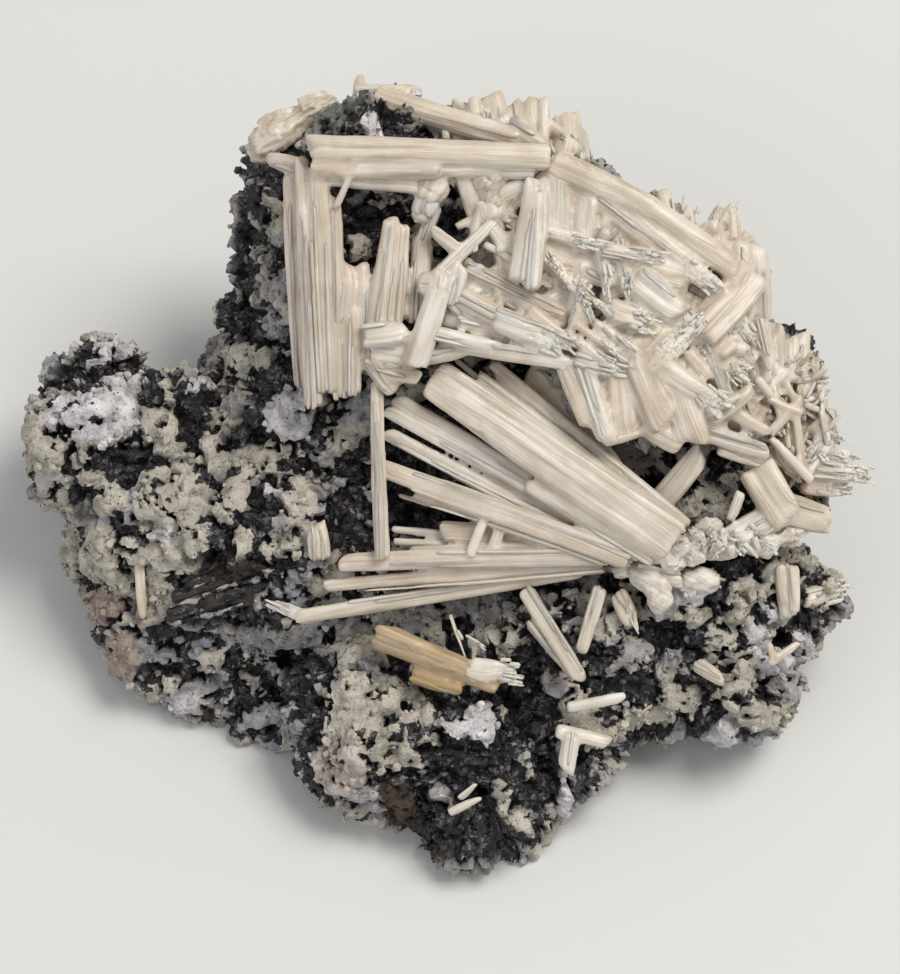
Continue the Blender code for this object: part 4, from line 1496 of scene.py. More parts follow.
@dataclass(frozen=True)
class Crumbs:
    """Many small grains stuck to the rock, joined in one piece."""

    name: str
    slot: str
    count: int
    sizes: tuple[float, float]  # millimetres
    on_crust: bool
    seed: int

    def shapes(self) -> list[tuple[np.ndarray, tuple[tuple[int, ...], ...]]]:
        """Models a few grains, rounded ones for crust and cubes for ore."""
        found = []
        for seed in range(6):
            chance = random.Random(self.seed * 10 + seed)
            mesh = bmesh.new()
            if self.on_crust:
                bmesh.ops.create_icosphere(mesh, subdivisions=1, radius=0.55)
            else:
                bmesh.ops.create_cube(mesh, size=0.9)
            stretch = [chance.uniform(0.7, 1.3) for _ in range(3)]
            bmesh.ops.scale(mesh, vec=stretch, verts=mesh.verts)
            if self.on_crust:
                for vert in mesh.verts:
                    vert.co += Vector([chance.uniform(-0.12, 0.12) for _ in range(3)])
            mesh.verts.index_update()
            points = np.array([vert.co for vert in mesh.verts])
            faces = tuple(tuple(vert.index for vert in face.verts) for face in mesh.faces)
            mesh.free()
            found.append((points, faces))
        return found

    def dress(self, rock: bpy.types.Mesh, finish: bpy.types.Material) -> bpy.types.Object:
        """Scatters the grains over the rock and puts them in the scene.

        Args:
            rock: the rock's mesh, with its covers.
            finish: the grains' material.

        Returns:
            The object.
        """
        chance = np.random.default_rng(self.seed)
        pick = random.Random(self.seed)
        corners = coordinates(rock) / MM
        normals = coordinates(rock, "normal")
        pale = np.empty(len(corners))
        rock.attributes["pale"].data.foreach_get("value", pale)
        tint = np.empty(len(corners) * 4)
        rock.attributes["cover"].data.foreach_get("color", tint)
        tint = tint.reshape(-1, 4)[:, :3]
        wanted = pale > 0.7 if self.on_crust else pale < 0.25
        wanted &= corners[:, 2] > 1.5
        found = np.flatnonzero(wanted)
        places = chance.choice(found, min(self.count, len(found)), replace=False)
        shapes = self.shapes()
        points, faces, colours, total = [], [], [], 0
        for place in places:
            shape, sides = shapes[pick.randrange(len(shapes))]
            size = self.sizes[0] * (self.sizes[1] / self.sizes[0]) ** (pick.random() ** 1.8)
            turn = Euler([pick.uniform(0, math.tau) for _ in range(3)]).to_matrix()
            local = shape @ np.array(turn).T * size
            points.append(local + corners[place] + normals[place] * size * 0.12)
            faces.extend(tuple(i + total for i in side) for side in sides)
            bright = pick.uniform(0.75, 1.2)
            colours.append(np.tile(np.clip(tint[place] * bright, 0, 0.9), (len(shape), 1)))
            total += len(shape)
        made = gathered(np.concatenate(points), faces, self.name)
        put_attribute(made, "cover", np.concatenate(colours))
        put_attribute(made, "pale", np.full(total, 1.0 if self.on_crust else 0.0))
        return show(self.name, made, finish)


CRUMBS = (
    Crumbs("crust_grains", "pale_crust", 4000, (0.3, 1.1), on_crust=True, seed=21),
    Crumbs("galena_grains", "galena_rock", 2200, (0.3, 0.8), on_crust=False, seed=22),
)

# The block's masses: those seen from the front, those behind, and the beds under the crystals
BODY = (
    Lump((4, 10, -27), (27, 22, 21)),
    Lump((-11, 24, -13), (11, 15, 13), 4),
    Lump((-18, 31, -16), (5.8, 8.5, 12)),
    Lump((-24, 18.5, -14), (2.6, 2.6, 3)),
    Lump((-8.5, 38, -5), (6.8, 6.2, 7)),
    Lump((8, 30, -12), (15, 9, 11), -20),
    Lump((22, 22, -12), (12, 8.5, 11), -42),
    Lump((28, 8, -15), (12, 15, 13), 8),
    Lump((36, 1, -13), (5.5, 6, 8)),
    Lump((27, -10, -13), (13, 11, 11.5)),
    Lump((38, -13, -12), (5.5, 6, 7)),
    Lump((31, -22, -10), (7.4, 7.0, 7.5), -8),
    Lump((24, -20, -11), (7.5, 8.2, 8)),
    Lump((13.5, -17, -10.5), (11.5, 9.5, 10)),
    Lump((2.4, -28, -9), (9.2, 11, 9.5)),
    Lump((3.2, -34.3, -8), (10.2, 7.8, 7.5)),
    Lump((-6.8, -27.4, -10), (12.5, 10.2, 9), -36),
    Lump((-3, -10, -15), (16, 9, 10)),
    Lump((-17, -6, -13.5), (13, 11, 11.5)),
    Lump((-17, 8, -15), (8, 10, 12)),
    Lump((-29, -3, -17), (12.5, 11, 11)),
    Lump((-38.8, 3.8, -16), (8.6, 8.6, 8)),
    Lump((-38.5, 11.8, -19), (6.2, 5, 6), 12),
    Lump((-30, 8.6, -17), (6, 5.5, 8)),
    Lump((-43.8, 5.2, -16.5), (3.6, 4, 5.5)),
    Lump((-36.6, -6.6, -20), (6, 5.6, 8), 20),
    Lump((-28.6, -15.6, -19), (11.6, 9.2, 9.5), -14),
    Lump((-20.5, -22.2, -21), (13, 7.6, 9), -22),
    Lump((-24.5, -11.5, -9.5), (6.5, 3.0, 4), 18),
)
BACK = (
    Lump((-2, 20, 14), (27, 17, 20), on_face=False),
    Lump((-12, 30, 26), (12, 8, 17), on_face=False),
    Lump((14, 26, 22), (14, 10, 15), on_face=False),
    Lump((26, 10, 14), (11, 14, 13), on_face=False),
    Lump((-24, 6, 8), (12, 14, 11), on_face=False),
    Lump((2, -14, 6), (20, 16, 9), on_face=False),
    Lump((0, 3, 6), (22, 17, 12), on_face=False),
)
BEDS = (
    Lump((12, 25.5, -1.0), (9.5, 8.5, 3.6), -20),
    Lump((23, 20, -1.2), (10, 8.0, 3.8), -40),
    Lump((8, 18.5, -0.4), (8.5, 4.0, 3.0), -25),
    Lump((20, 12, -0.4), (8, 7.0, 3.6), -10),
    Lump((30, 12.5, -1.8), (6, 8.0, 3.4), 10),
    Lump((37.5, 6.5, -6.4), (4.6, 7.4, 3.6), 6),
    Lump((37.5, 14, -5.8), (3.2, 3.6, 2.8)),
    Lump((5.5, 38.2, -3.6), (8.0, 3.4, 3.2), -12),
)

# The crystals

FAN = (
    # the broad blades, side by side
    Lath((24.6, -6.1, 4.0), (-2.1, 12.2, 1.5), 5.4, 1.9),
    Lath((25.9, -4.6, 3.2), (4.9, 12.9, -0.4), 2.3, 1.6),
    Lath((24.9, -5.2, 3.9), (3.0, 12.0, 0.8), 2.4, 1.4),
    Lath((13.4, 5.9, 1.3), (4.4, 13.6, -0.2), 1.3, 1.0),
    Lath((14.0, 3.0, 2.0), (0.4, 14.2, -0.4), 0.9, 0.9),
    # the striated blades under them
    Lath((22.3, -7.9, 3.4), (8.3, 0.4, 1.9), 1.9, 1.4),
    Lath((22.0, -7.2, 2.2), (-6.2, 9.8, -1.0), 1.9, 1.2, Habit.SILKY),
    Lath((21.0, -7.6, 2.0), (-7.3, 8.5, -0.4), 1.7, 1.0, Habit.SILKY),
    Lath((20.0, -8.0, 1.6), (-7.3, 6.1, -0.6), 1.9, 1.0, Habit.SILKY),
    Lath((19.5, -8.0, 3.0), (-7.9, 2.2, 1.2), 2.4, 1.8),
    Lath((17.0, -7.7, 2.4), (-3.7, -0.5, 0.8), 1.9, 1.4),
    Lath((10.0, -4.8, 0.6), (-5.8, -0.9, -1.0), 0.8, 0.8),
    # the level blades along the bottom
    Lath((14.0, -6.6, -0.6), (-6.5, -4.6, -1.8), 1.0, 0.9, Habit.NEEDLE),
    Lath((14.0, -7.0, 0.0), (-6.3, -6.0, -1.4), 0.9, 0.9, Habit.NEEDLE),
    Lath((15.5, -6.3, 0.6), (-1.1, -5.0, -0.4), 3.2, 1.3, Habit.COLUMN),
    Lath((17.3, -7.6, 2.2), (-12.3, -8.3, 1.0), 2.2, 1.6),
    Lath((16.2, -6.9, 1.6), (-4.5, -7.1, 0.6), 1.5, 1.3),
    Lath((16.8, -8.7, 1.2), (-14.0, -10.9, -0.6), 1.7, 1.4),
    Lath((14.5, -9.1, 0.6), (-17.0, -14.3, -1.2), 1.8, 1.3),
    Lath((-15.3, -14.5, -1.2), (-19.6, -12.7, -2.0), 1.5, 1.0, Habit.FRAYED),
    # the slender cross laths
    Lath((-7.4, -7.9, 2.6), (-8.1, 11.9, 2.4), 1.7, 1.2),
    Lath((2.1, -7.7, 2.4), (4.1, -2.6, 2.2), 1.2, 0.9),
    Lath((4.6, -7.0, 1.6), (6.0, -3.2, 1.8), 1.4, 0.9),
    # the blades seen between the fan and the crowd above it
    Lath((17.0, 2.0, 0.4), (8.6, 12.9, -2.4), 3.4, 1.6, Habit.COLUMN),
    Lath((19.0, 0.5, 1.0), (11.5, 11.0, -1.4), 2.4, 1.5),
    Lath((20.0, -3.5, 2.4), (3.8, 11.2, 0.6), 2.0, 1.2),
)
COLUMNS = (
    # the upright columns
    Lath((-16.2, 11.0, 1.0), (-17.7, 34.6, 1.2), 1.9, 2.4),
    Lath((-15.0, 8.8, 2.6), (-16.3, 36.0, 3.2), 2.1, 2.4),
    Lath((-13.5, 10.5, 2.8), (-14.5, 35.8, 3.8), 2.4, 2.4),
    Lath((-12.4, 18.0, 2.6), (-12.8, 32.0, 3.2), 1.8, 2.0),
    Lath((-12.1, 9.8, 2.4), (-12.2, 20.4, 2.6), 1.7, 1.9),
    Lath((-10.7, 10.2, 3.0), (-10.6, 20.1, 3.0), 1.8, 2.0),
    Lath((-11.7, 18.5, 2.4), (-11.2, 24.6, 2.4), 2.9, 2.0),
    Lath((-9.4, 14.0, 2.6), (-9.6, 24.8, 2.4), 1.8, 1.8),
    Lath((-8.4, 15.5, 3.2), (-6.4, 29.8, 2.8), 2.1, 1.9),
    Lath((-6.4, 16.5, 3.0), (-5.1, 28.9, 2.8), 1.9, 1.7),
    Lath((-9.4, 16.6, 4.0), (-4.4, 17.1, 4.2), 2.7, 2.2, Habit.CHALKY),
    Lath((-8.6, 14.2, 3.4), (-6.0, 10.4, 2.9), 2.7, 1.5),
    Lath((-8.0, 13.2, 3.2), (-3.2, 11.9, 3.2), 2.0, 1.5),
    Lath((-8.5, 15.0, 3.0), (-3.4, 14.2, 3.4), 2.6, 2.0, Habit.CHALKY),
    # the cross beam
    Lath((11.0, 36.2, 4.2), (-15.7, 37.4, 5.4), 2.9, 2.7, Habit.PRISM),
    Lath((-1.2, 35.0, 4.6), (-15.4, 35.2, 4.8), 2.3, 2.6, Habit.PRISM),
    Lath((-3.4, 33.0, 3.6), (-13.6, 33.7, 3.8), 1.5, 2.0, Habit.PRISM),
    Lath((9.4, 34.8, 4.0), (-2.8, 35.1, 4.4), 1.9, 2.1, Habit.PRISM),
    Lath((-12.6, 30.6, 4.4), (-10.2, 35.8, 6.2), 0.8, 0.8),
    Lath((-15.8, 35.0, 2.2), (-20.2, 36.2, 0.6), 2.0, 1.8),
    # the prisms that hang from the beam
    Lath((-1.2, 34.4, 3.4), (-3.2, 29.8, 2.6), 3.0, 2.2, Habit.CHALKY),
    Lath((-1.6, 31.0, 2.2), (-3.4, 26.0, 1.0), 1.7, 1.5, Habit.CHALKY),
    Lath((1.6, 34.8, 3.0), (3.5, 28.5, 2.0), 2.6, 2.0),
    Lath((4.2, 34.8, 3.4), (5.0, 31.4, 3.2), 3.2, 2.2),
    Lath((4.5, 32.6, 2.8), (5.9, 24.0, 1.8), 2.0, 1.8),
    # the pale cross in the middle
    Lath((-1.6, 23.0, 4.4), (4.9, 29.3, 3.6), 1.6, 1.4, Habit.CHALKY),
    Lath((1.6, 25.5, 4.2), (-2.2, 28.4, 3.4), 1.5, 1.2, Habit.CHALKY),
    Lath((-3.9, 13.4, 5.0), (-0.6, 23.6, 4.8), 2.8, 1.9, Habit.CHALKY),
    Lath((-0.2, 21.6, 4.6), (-3.5, 22.7, 4.2), 2.7, 1.7, Habit.CHALKY),
    Lath((0.2, 20.2, 4.4), (1.4, 24.3, 4.4), 1.9, 1.5, Habit.CHALKY),
    Lath((-3.6, 18.0, 2.0), (-3.0, 27.4, 0.8), 2.6, 2.0),
)
CROWD = (
    # the stepped uprights under the beam's end
    Lath((7.4, 22.6, 5.6), (9.2, 34.0, 4.4), 2.2, 2.2),
    Lath((9.0, 21.7, 5.8), (10.0, 33.0, 4.8), 2.0, 2.2),
    Lath((11.4, 28.6, 3.4), (11.8, 35.0, 3.8), 3.3, 2.6),
    Lath((12.6, 27.0, 3.2), (12.7, 33.2, 3.8), 1.9, 2.0),
    Lath((14.2, 26.0, 3.8), (15.3, 32.2, 4.2), 2.5, 2.0),
    # the two long prisms that come down from the top
    Lath((11.4, 35.8, 3.6), (22.8, 30.3, 4.0), 3.0, 2.8),
    Lath((20.6, 31.4, 3.8), (31.6, 23.8, 2.8), 3.0, 2.8),
    Lath((13.6, 33.8, 3.2), (29.6, 21.6, 4.2), 2.8, 2.4, Habit.FRAYED),
    Lath((16.0, 31.4, 2.4), (21.4, 25.4, 2.8), 3.0, 2.0),
    # the weathered ledge and the dark face under it
    Lath((9.8, 28.4, 5.0), (17.6, 26.2, 5.6), 1.4, 1.4, Habit.WORN),
    Lath((10.4, 26.0, 3.4), (16.8, 23.0, 3.8), 4.8, 2.0),
    Lath((16.8, 26.2, 5.6), (23.2, 24.9, 5.2), 1.8, 1.6, Habit.WORN),
    Lath((16.5, 26.2, 4.8), (17.4, 21.6, 5.4), 1.3, 1.6, Habit.WORN),
    Lath((19.2, 24.8, 4.8), (19.4, 21.2, 5.4), 1.2, 1.6, Habit.WORN),
    Lath((17.8, 25.4, 4.0), (18.3, 21.8, 4.4), 2.8, 1.6),
    Lath((18.6, 25.2, 4.2), (25.8, 22.6, 4.0), 3.0, 2.2),
    Lath((20.4, 22.8, 4.4), (25.4, 18.8, 4.6), 3.5, 3.0),
    Lath((27.6, 16.6, 4.4), (34.0, 23.2, 1.8), 3.7, 3.0),
    Lath((28.0, 19.2, 3.4), (32.8, 24.6, 1.6), 2.2, 2.0),
    # the right shoulder
    Lath((34.2, 18.0, -0.8), (34.0, 26.6, -0.8), 2.5, 2.8),
    Lath((32.6, 18.6, 0.2), (31.9, 27.2, -0.4), 2.8, 3.0),
    Lath((25.9, 27.0, 0.0), (26.4, 31.0, -2.0), 1.9, 1.7, Habit.WEATHERED),
    Lath((31.2, 26.0, -0.6), (31.1, 31.3, -2.4), 1.5, 1.6, Habit.WEATHERED),
    Lath((29.4, 25.0, 0.8), (28.6, 29.2, -0.6), 2.9, 2.2),
    Lath((28.8, 28.0, -1.0), (29.8, 30.9, -2.2), 1.7, 1.5, Habit.WEATHERED),
    Lath((24.4, 27.2, 1.6), (23.4, 32.8, 0.0), 2.0, 1.8),
    # the splintered laths in the middle
    Lath((15.2, 20.4, 5.4), (10.2, 25.9, 4.8), 1.0, 1.0, Habit.WORN),
    Lath((13.3, 17.3, 5.2), (14.8, 22.6, 5.6), 1.1, 1.0, Habit.WORN),
    Lath((19.0, 18.0, 5.2), (14.6, 21.5, 5.6), 1.0, 1.0, Habit.WORN),
    Lath((15.8, 17.9, 5.2), (14.6, 21.0, 5.6), 0.6, 0.8, Habit.WORN),
    Lath((1.8, 24.2, 3.4), (12.8, 19.0, 4.2), 1.8, 1.6),
    Lath((3.0, 23.2, 2.8), (13.0, 17.8, 3.6), 2.2, 1.8),
    Lath((0.9, 21.0, 4.0), (9.4, 16.6, 4.8), 2.3, 1.8),
    Lath((-0.8, 18.8, 2.6), (6.4, 17.0, 3.2), 2.6, 2.0),
    Lath((-2.3, 17.1, 4.6), (5.2, 15.4, 4.8), 1.7, 1.6),
    Lath((1.2, 15.6, 4.0), (13.2, 13.6, 5.0), 1.9, 1.7, Habit.SILKY),
    Lath((-3.2, 14.3, 3.4), (2.0, 15.2, 3.6), 2.0, 1.6),
    Lath((5.0, 18.6, 4.6), (12.6, 15.6, 5.4), 2.9, 1.8, Habit.FRAYED),
    Lath((8.6, 19.6, 4.8), (13.6, 15.4, 5.6), 1.5, 1.4, Habit.FRAYED),
    Lath((13.2, 18.4, 5.2), (18.6, 14.6, 5.6), 0.9, 1.0, Habit.FRAYED),
    Lath((12.4, 17.2, 5.0), (17.6, 13.6, 5.4), 0.9, 1.0, Habit.FRAYED),
    Lath((14.4, 19.2, 5.0), (19.6, 15.6, 5.4), 0.9, 1.0, Habit.FRAYED),
    # the stout prisms over the fan
    Lath((12.6, 13.8, 4.0), (15.2, 6.6, 4.8), 2.3, 2.2),
    Lath((14.6, 13.2, 4.2), (17.3, 4.9, 5.0), 2.5, 2.2),
    Lath((18.6, 15.0, 3.6), (18.9, 6.0, 4.2), 3.3, 2.2),
    Lath((16.8, 4.9, 4.8), (21.8, 6.1, 4.2), 1.2, 1.2),
    Lath((20.6, 14.0, 4.2), (23.6, 6.6, 4.6), 4.3, 2.8),
    Lath((25.2, 10.8, 4.0), (26.8, 4.8, 4.0), 3.9, 2.8),
    Lath((21.4, 6.9, 3.8), (25.4, 4.2, 3.8), 2.4, 2.0),
    Lath((22.4, 13.7, 5.0), (30.0, 8.6, 4.8), 2.9, 2.0, Habit.FRAYED),
    Lath((22.0, 13.0, 5.2), (27.6, 18.4, 5.4), 2.5, 1.6, Habit.WORN),
    Lath((19.6, 13.5, 4.2), (24.0, 17.6, 4.4), 3.2, 2.0),
    Lath((16.4, 16.8, 4.2), (21.0, 13.2, 4.4), 3.0, 2.0),
    Lath((13.8, 14.3, 4.8), (18.4, 12.6, 5.2), 2.1, 1.6, Habit.FRAYED),
    Lath((17.4, 19.8, 4.8), (22.0, 18.0, 5.0), 2.6, 1.6, Habit.FRAYED),
    Lath((26.0, 15.0, 4.2), (28.8, 11.8, 4.4), 1.4, 1.4),
    Lath((27.4, 15.2, 3.2), (31.8, 17.2, 2.4), 3.1, 2.2),
    Lath((28.4, 14.0, 3.4), (32.8, 12.6, 2.8), 1.9, 1.6, Habit.FRAYED),
    Lath((34.0, 10.4, 1.4), (32.3, 18.8, 0.8), 1.8, 1.8),
    Lath((35.0, 11.4, 0.6), (33.2, 18.6, 0.2), 1.3, 1.4, Habit.FRAYED),
    Lath((28.6, 7.4, 3.8), (33.4, 10.8, 3.4), 1.9, 1.5),
    Lath((28.2, 6.0, 2.8), (35.2, 3.8, 1.8), 2.1, 1.8),
    Lath((29.6, 4.4, 1.8), (34.8, 2.6, 1.0), 1.9, 1.6),
    Lath((30.6, 8.6, 2.6), (35.2, 5.8, 2.2), 1.6, 1.4),
)
NET = (
    # the crossing laths
    Lath((39.8, 0.6, -0.6), (35.3, 5.4, 0.0), 1.1, 1.1),
    Lath((39.0, 1.0, -1.0), (42.2, 5.2, -3.0), 1.0, 1.1),
    Lath((38.9, 1.2, -1.2), (38.0, 8.8, -0.8), 1.0, 1.1),
    Lath((35.0, 5.8, -0.6), (38.8, 9.8, -0.8), 1.1, 1.1),
    Lath((34.8, 9.8, -0.4), (38.9, 8.0, -0.6), 0.9, 1.0),
    Lath((36.6, 6.8, -0.6), (35.4, 11.6, -0.8), 0.9, 1.0),
    Lath((37.2, 12.8, -1.6), (33.9, 10.2, -0.4), 1.0, 1.0),
    Lath((35.0, 13.2, -1.2), (41.2, 10.6, -3.0), 1.3, 1.2),
    Lath((38.6, 8.2, -1.0), (36.4, 12.4, -1.4), 0.9, 1.0),
    Lath((37.9, 9.2, -1.0), (40.2, 12.0, -2.6), 1.0, 1.0),
    Lath((39.8, 10.2, -2.4), (42.4, 6.3, -4.2), 1.7, 1.4, Habit.WEATHERED),
    Lath((41.2, 8.4, -3.2), (40.0, 3.4, -2.2), 1.3, 1.2),
    Lath((36.8, 7.4, -2.0), (38.0, 3.0, -2.0), 1.5, 1.2, Habit.WEATHERED),
    Lath((35.4, 4.8, -1.4), (38.6, 0.6, -1.8), 1.6, 1.3, Habit.WEATHERED),
    # the fins above it
    Lath((37.6, 12.4, -2.6), (38.3, 16.9, -3.6), 3.4, 1.6, Habit.PRISM),
    Lath((36.2, 13.0, -2.2), (35.8, 17.8, -2.6), 2.2, 1.8, Habit.PRISM),
    # the splintered spike on the right
    Lath((39.4, 2.0, -2.4), (46.2, 1.2, -5.0), 2.2, 2.4, Habit.WORN),
    Lath((39.6, 4.0, -2.6), (44.4, 2.9, -5.0), 1.9, 2.0, Habit.WORN),
    Lath((38.6, 0.0, -2.4), (44.2, -0.4, -5.2), 1.6, 1.8, Habit.WORN),
)
RIGHT_PRISMS = (
    Lath((33.6, 2.2, -0.4), (37.2, -4.0, 0.2), 4.3, 3.6),
    Lath((37.0, -2.4, -1.2), (29.2, -6.8, 0.8), 3.3, 3.0, Habit.CHALKY),
    Lath((36.4, -2.2, -2.0), (41.6, -3.8, -4.6), 3.6, 3.6),
    Lath((32.0, -0.5, 1.2), (30.8, -3.7, 1.4), 1.2, 1.2, Habit.CHALKY),
)
CREST = (
    Lath((-8.2, 42.9, -2.0), (8.4, 37.9, 0.4), 2.9, 2.6),
    Lath((-2.4, 40.0, -2.2), (5.0, 37.9, -1.4), 1.7, 1.8),
    Lath((-10.0, 42.6, -3.4), (-9.9, 45.3, -4.6), 1.6, 1.6),
    Lath((-10.6, 43.2, -4.0), (-3.0, 43.6, -3.6), 1.8, 2.0),
    Lath((5.2, 39.6, -1.6), (4.6, 43.2, -3.0), 2.9, 2.2),
    Lath((7.4, 38.6, -1.0), (7.0, 42.4, -2.2), 2.0, 1.9),
    Lath((9.4, 37.4, -0.6), (9.2, 42.8, -2.2), 2.9, 2.2),
    Lath((10.3, 37.2, 0.4), (10.4, 43.0, -1.4), 1.2, 1.4),
    Lath((12.6, 36.4, -1.8), (12.6, 41.0, -3.4), 4.0, 2.6),
    Lath((14.6, 35.6, -2.2), (14.3, 39.4, -3.6), 1.8, 2.2),
    Lath((6.6, 39.8, 0.2), (10.4, 37.2, 1.2), 2.0, 1.8),
    Lath((-9.0, 41.2, 0.8), (-7.8, 38.0, 2.2), 1.5, 1.2, Habit.CHALKY),
)
LEFT_CREST_MASSES = (
    Lump((-18.6, 39.0, -8.6), (4.2, 2.4, 3.2), 30),
    Lump((-14.8, 41.4, -8.6), (3.2, 2.0, 3.0), 22),
    Lump((-20.6, 37.2, -8.6), (2.2, 1.9, 2.8), 20),
)
LEFT_CREST = (
    Lath((-21.4, 37.8, -8.6), (-14.0, 41.8, -8.2), 2.4, 2.6),
    Lath((-18.8, 38.2, -7.6), (-15.2, 42.4, -8.4), 1.8, 2.0),
)
KNOB_MASSES = (
    Lump((23.2, -12.4, 1.2), (1.5, 1.6, 1.4)),
    Lump((22.0, -10.3, 0.6), (2.8, 1.5, 1.5), -30),
    Lump((27.4, -10.2, -0.8), (2.6, 1.7, 1.6)),
)
HANGING_MASSES = (
    Lump((-2.0, 33.0, 3.4), (2.0, 2.0, 1.5), -25),
    Lump((-0.8, 34.6, 3.8), (1.5, 1.2, 1.3)),
    Lump((-3.0, 30.4, 2.4), (1.3, 1.7, 1.2), -20),
    Lump((4.4, 34.0, 3.6), (2.0, 1.9, 1.5)),
    Lump((4.9, 31.0, 3.0), (1.7, 1.9, 1.4)),
    Lump((-0.4, 21.8, 4.0), (2.0, 1.5, 1.4), -20),
)
APEX_MASSES = (
    Lump((26.2, -6.6, 1.2), (2.6, 1.5, 1.7), -20),
    Lump((24.4, -8.3, 1.0), (2.6, 1.3, 1.6), -14),
    Lump((20.4, -9.0, 0.0), (3.0, 1.2, 1.5), 6),
    Lump((30.2, -6.4, 0.2), (3.2, 1.6, 1.8), 8),
    Lump((34.4, -6.2, -1.0), (2.6, 1.9, 1.8)),
    Lump((37.6, -5.0, -2.6), (2.0, 1.9, 1.9), 30),
    Lump((28.4, -4.2, 0.2), (1.9, 1.2, 1.3), 20),
)
CROWD_MASSES = (
    Lump((12.4, 25.5, 0.7), (9.4, 8.0, 3.6), -20),
    Lump((23, 20, 0.6), (9.6, 7.6, 3.7), -40),
    Lump((9, 18.5, 1.0), (8.0, 3.8, 3.0), -25),
    Lump((20.5, 12.4, 1.1), (7.6, 6.0, 3.6), -10),
    Lump((29.6, 13.0, -0.2), (5.6, 7.6, 3.4), 10),
    Lump((30.6, 23.6, -2.2), (4.4, 5.0, 3.2), -30),
)
KNOB = (Lath((20.6, -9.3, 0.6), (25.6, -10.4, 0.4), 2.0, 1.6),)
GOLDEN_BLADES = (
    Lath((-8.2, -16.3, -1.4), (5.4, -21.9, 1.0), 2.9, 1.9),
    Lath((-4.2, -20.6, -0.8), (1.4, -22.5, 0.6), 1.8, 1.6),
    Lath((2.2, -20.0, 0.6), (7.4, -20.6, 1.0), 2.8, 1.8, Habit.FRAYED),
    Lath((-6.6, -15.8, -1.8), (0.4, -19.2, -0.2), 1.4, 1.4),
)
WEDGE_PRISM = (
    Lath((8.2, -11.2, 0.2), (14.6, -21.4, 1.6), 1.9, 2.0),
    Lath((8.9, -14.6, 0.0), (14.2, -21.0, 0.8), 1.8, 1.6),
)
PALE_POINT = (
    Lath((13.4, -27.2, 0.0), (12.7, -31.4, 0.4), 2.0, 1.6),
    Lath((11.6, -26.8, -0.2), (17.6, -28.2, -1.2), 1.6, 1.5),
)

CROWD_THICKETS = (
    Thicket(13, 26, 11.5, 6.5, 3.2, 60, -25),
    Thicket(22, 17, 9.5, 8.0, 3.5, 60, -35),
    Thicket(7, 19, 8.5, 3.5, 3.2, 26, -20),
    Thicket(30.5, 13.5, 4.5, 8.0, 2.2, 34),
    Thicket(27, 25, 6.0, 3.5, 1.0, 16, -35),
)
NET_THICKETS = (
    Thicket(37.8, 7.5, 4.0, 6.2, -2.0, 60, 0, (2.0, 4.6), (0.4, 0.9), (Habit.NEEDLE, Habit.FRAYED)),
)
APEX_THICKETS = (
    Thicket(29.5, -6.2, 5.5, 1.5, 1.4, 34, 4, (0.8, 2.4), (0.4, 1.0), (Habit.CHALKY, Habit.WORN)),
)
SCATTERED = (
    Lath((35.0, -19.5, -1.8), (38.5, -17.0, -2.6), 1.0, 0.9),
    Lath((35.0, -17.0, -1.6), (35.8, -19.6, -1.8), 0.8, 0.8),
    Lath((1.0, -34.3, -0.2), (3.0, -32.7, 0.4), 0.7, 0.6),
    Lath((0.0, -14.0, -0.8), (1.8, -19.5, 0.2), 0.4, 0.4, Habit.WEATHERED),
    Lath((1.7, -16.3, -0.4), (4.0, -17.7, 0.2), 0.35, 0.35, Habit.WEATHERED),
    Lath((4.0, 33.6, 2.6), (9.0, 33.6, 3.2), 1.4, 1.3),
)
LEDGE_SEAMS = (
    Lath((-30.8, -13.2, -5.7), (-27.0, -12.1, -5.4), 0.3, 0.4),
    Lath((-27.4, -12.0, -5.4), (-23.4, -10.6, -5.1), 0.25, 0.4),
    Lath((-23.0, -10.7, -5.1), (-19.2, -9.4, -4.9), 0.35, 0.4),
    Lath((-29.6, -11.6, -6.2), (-26.0, -10.2, -5.9), 0.25, 0.4),
    Lath((-25.2, -10.1, -5.9), (-19.8, -8.1, -5.5), 0.25, 0.4),
    Lath((-31.0, -15.3, -5.8), (-26.4, -13.9, -5.4), 0.4, 0.5),
    Lath((-26.8, -14.3, -5.5), (-22.6, -12.8, -5.2), 0.3, 0.5),
)
CREST_THICKETS = (Thicket(6, 38.6, 8.0, 2.4, -1.2, 30, -12, (2.0, 4.0), (0.8, 1.8)),)
LEDGE = (
    Lath((-31.0, -14.2, -6.4), (-19.2, -10.4, -5.6), 2.0, 1.8),
    Lath((-30.4, -12.4, -6.9), (-18.6, -8.6, -6.1), 1.9, 1.8),
    Lath((-29.0, -10.9, -7.6), (-20.0, -7.4, -6.8), 1.7, 1.8),
)

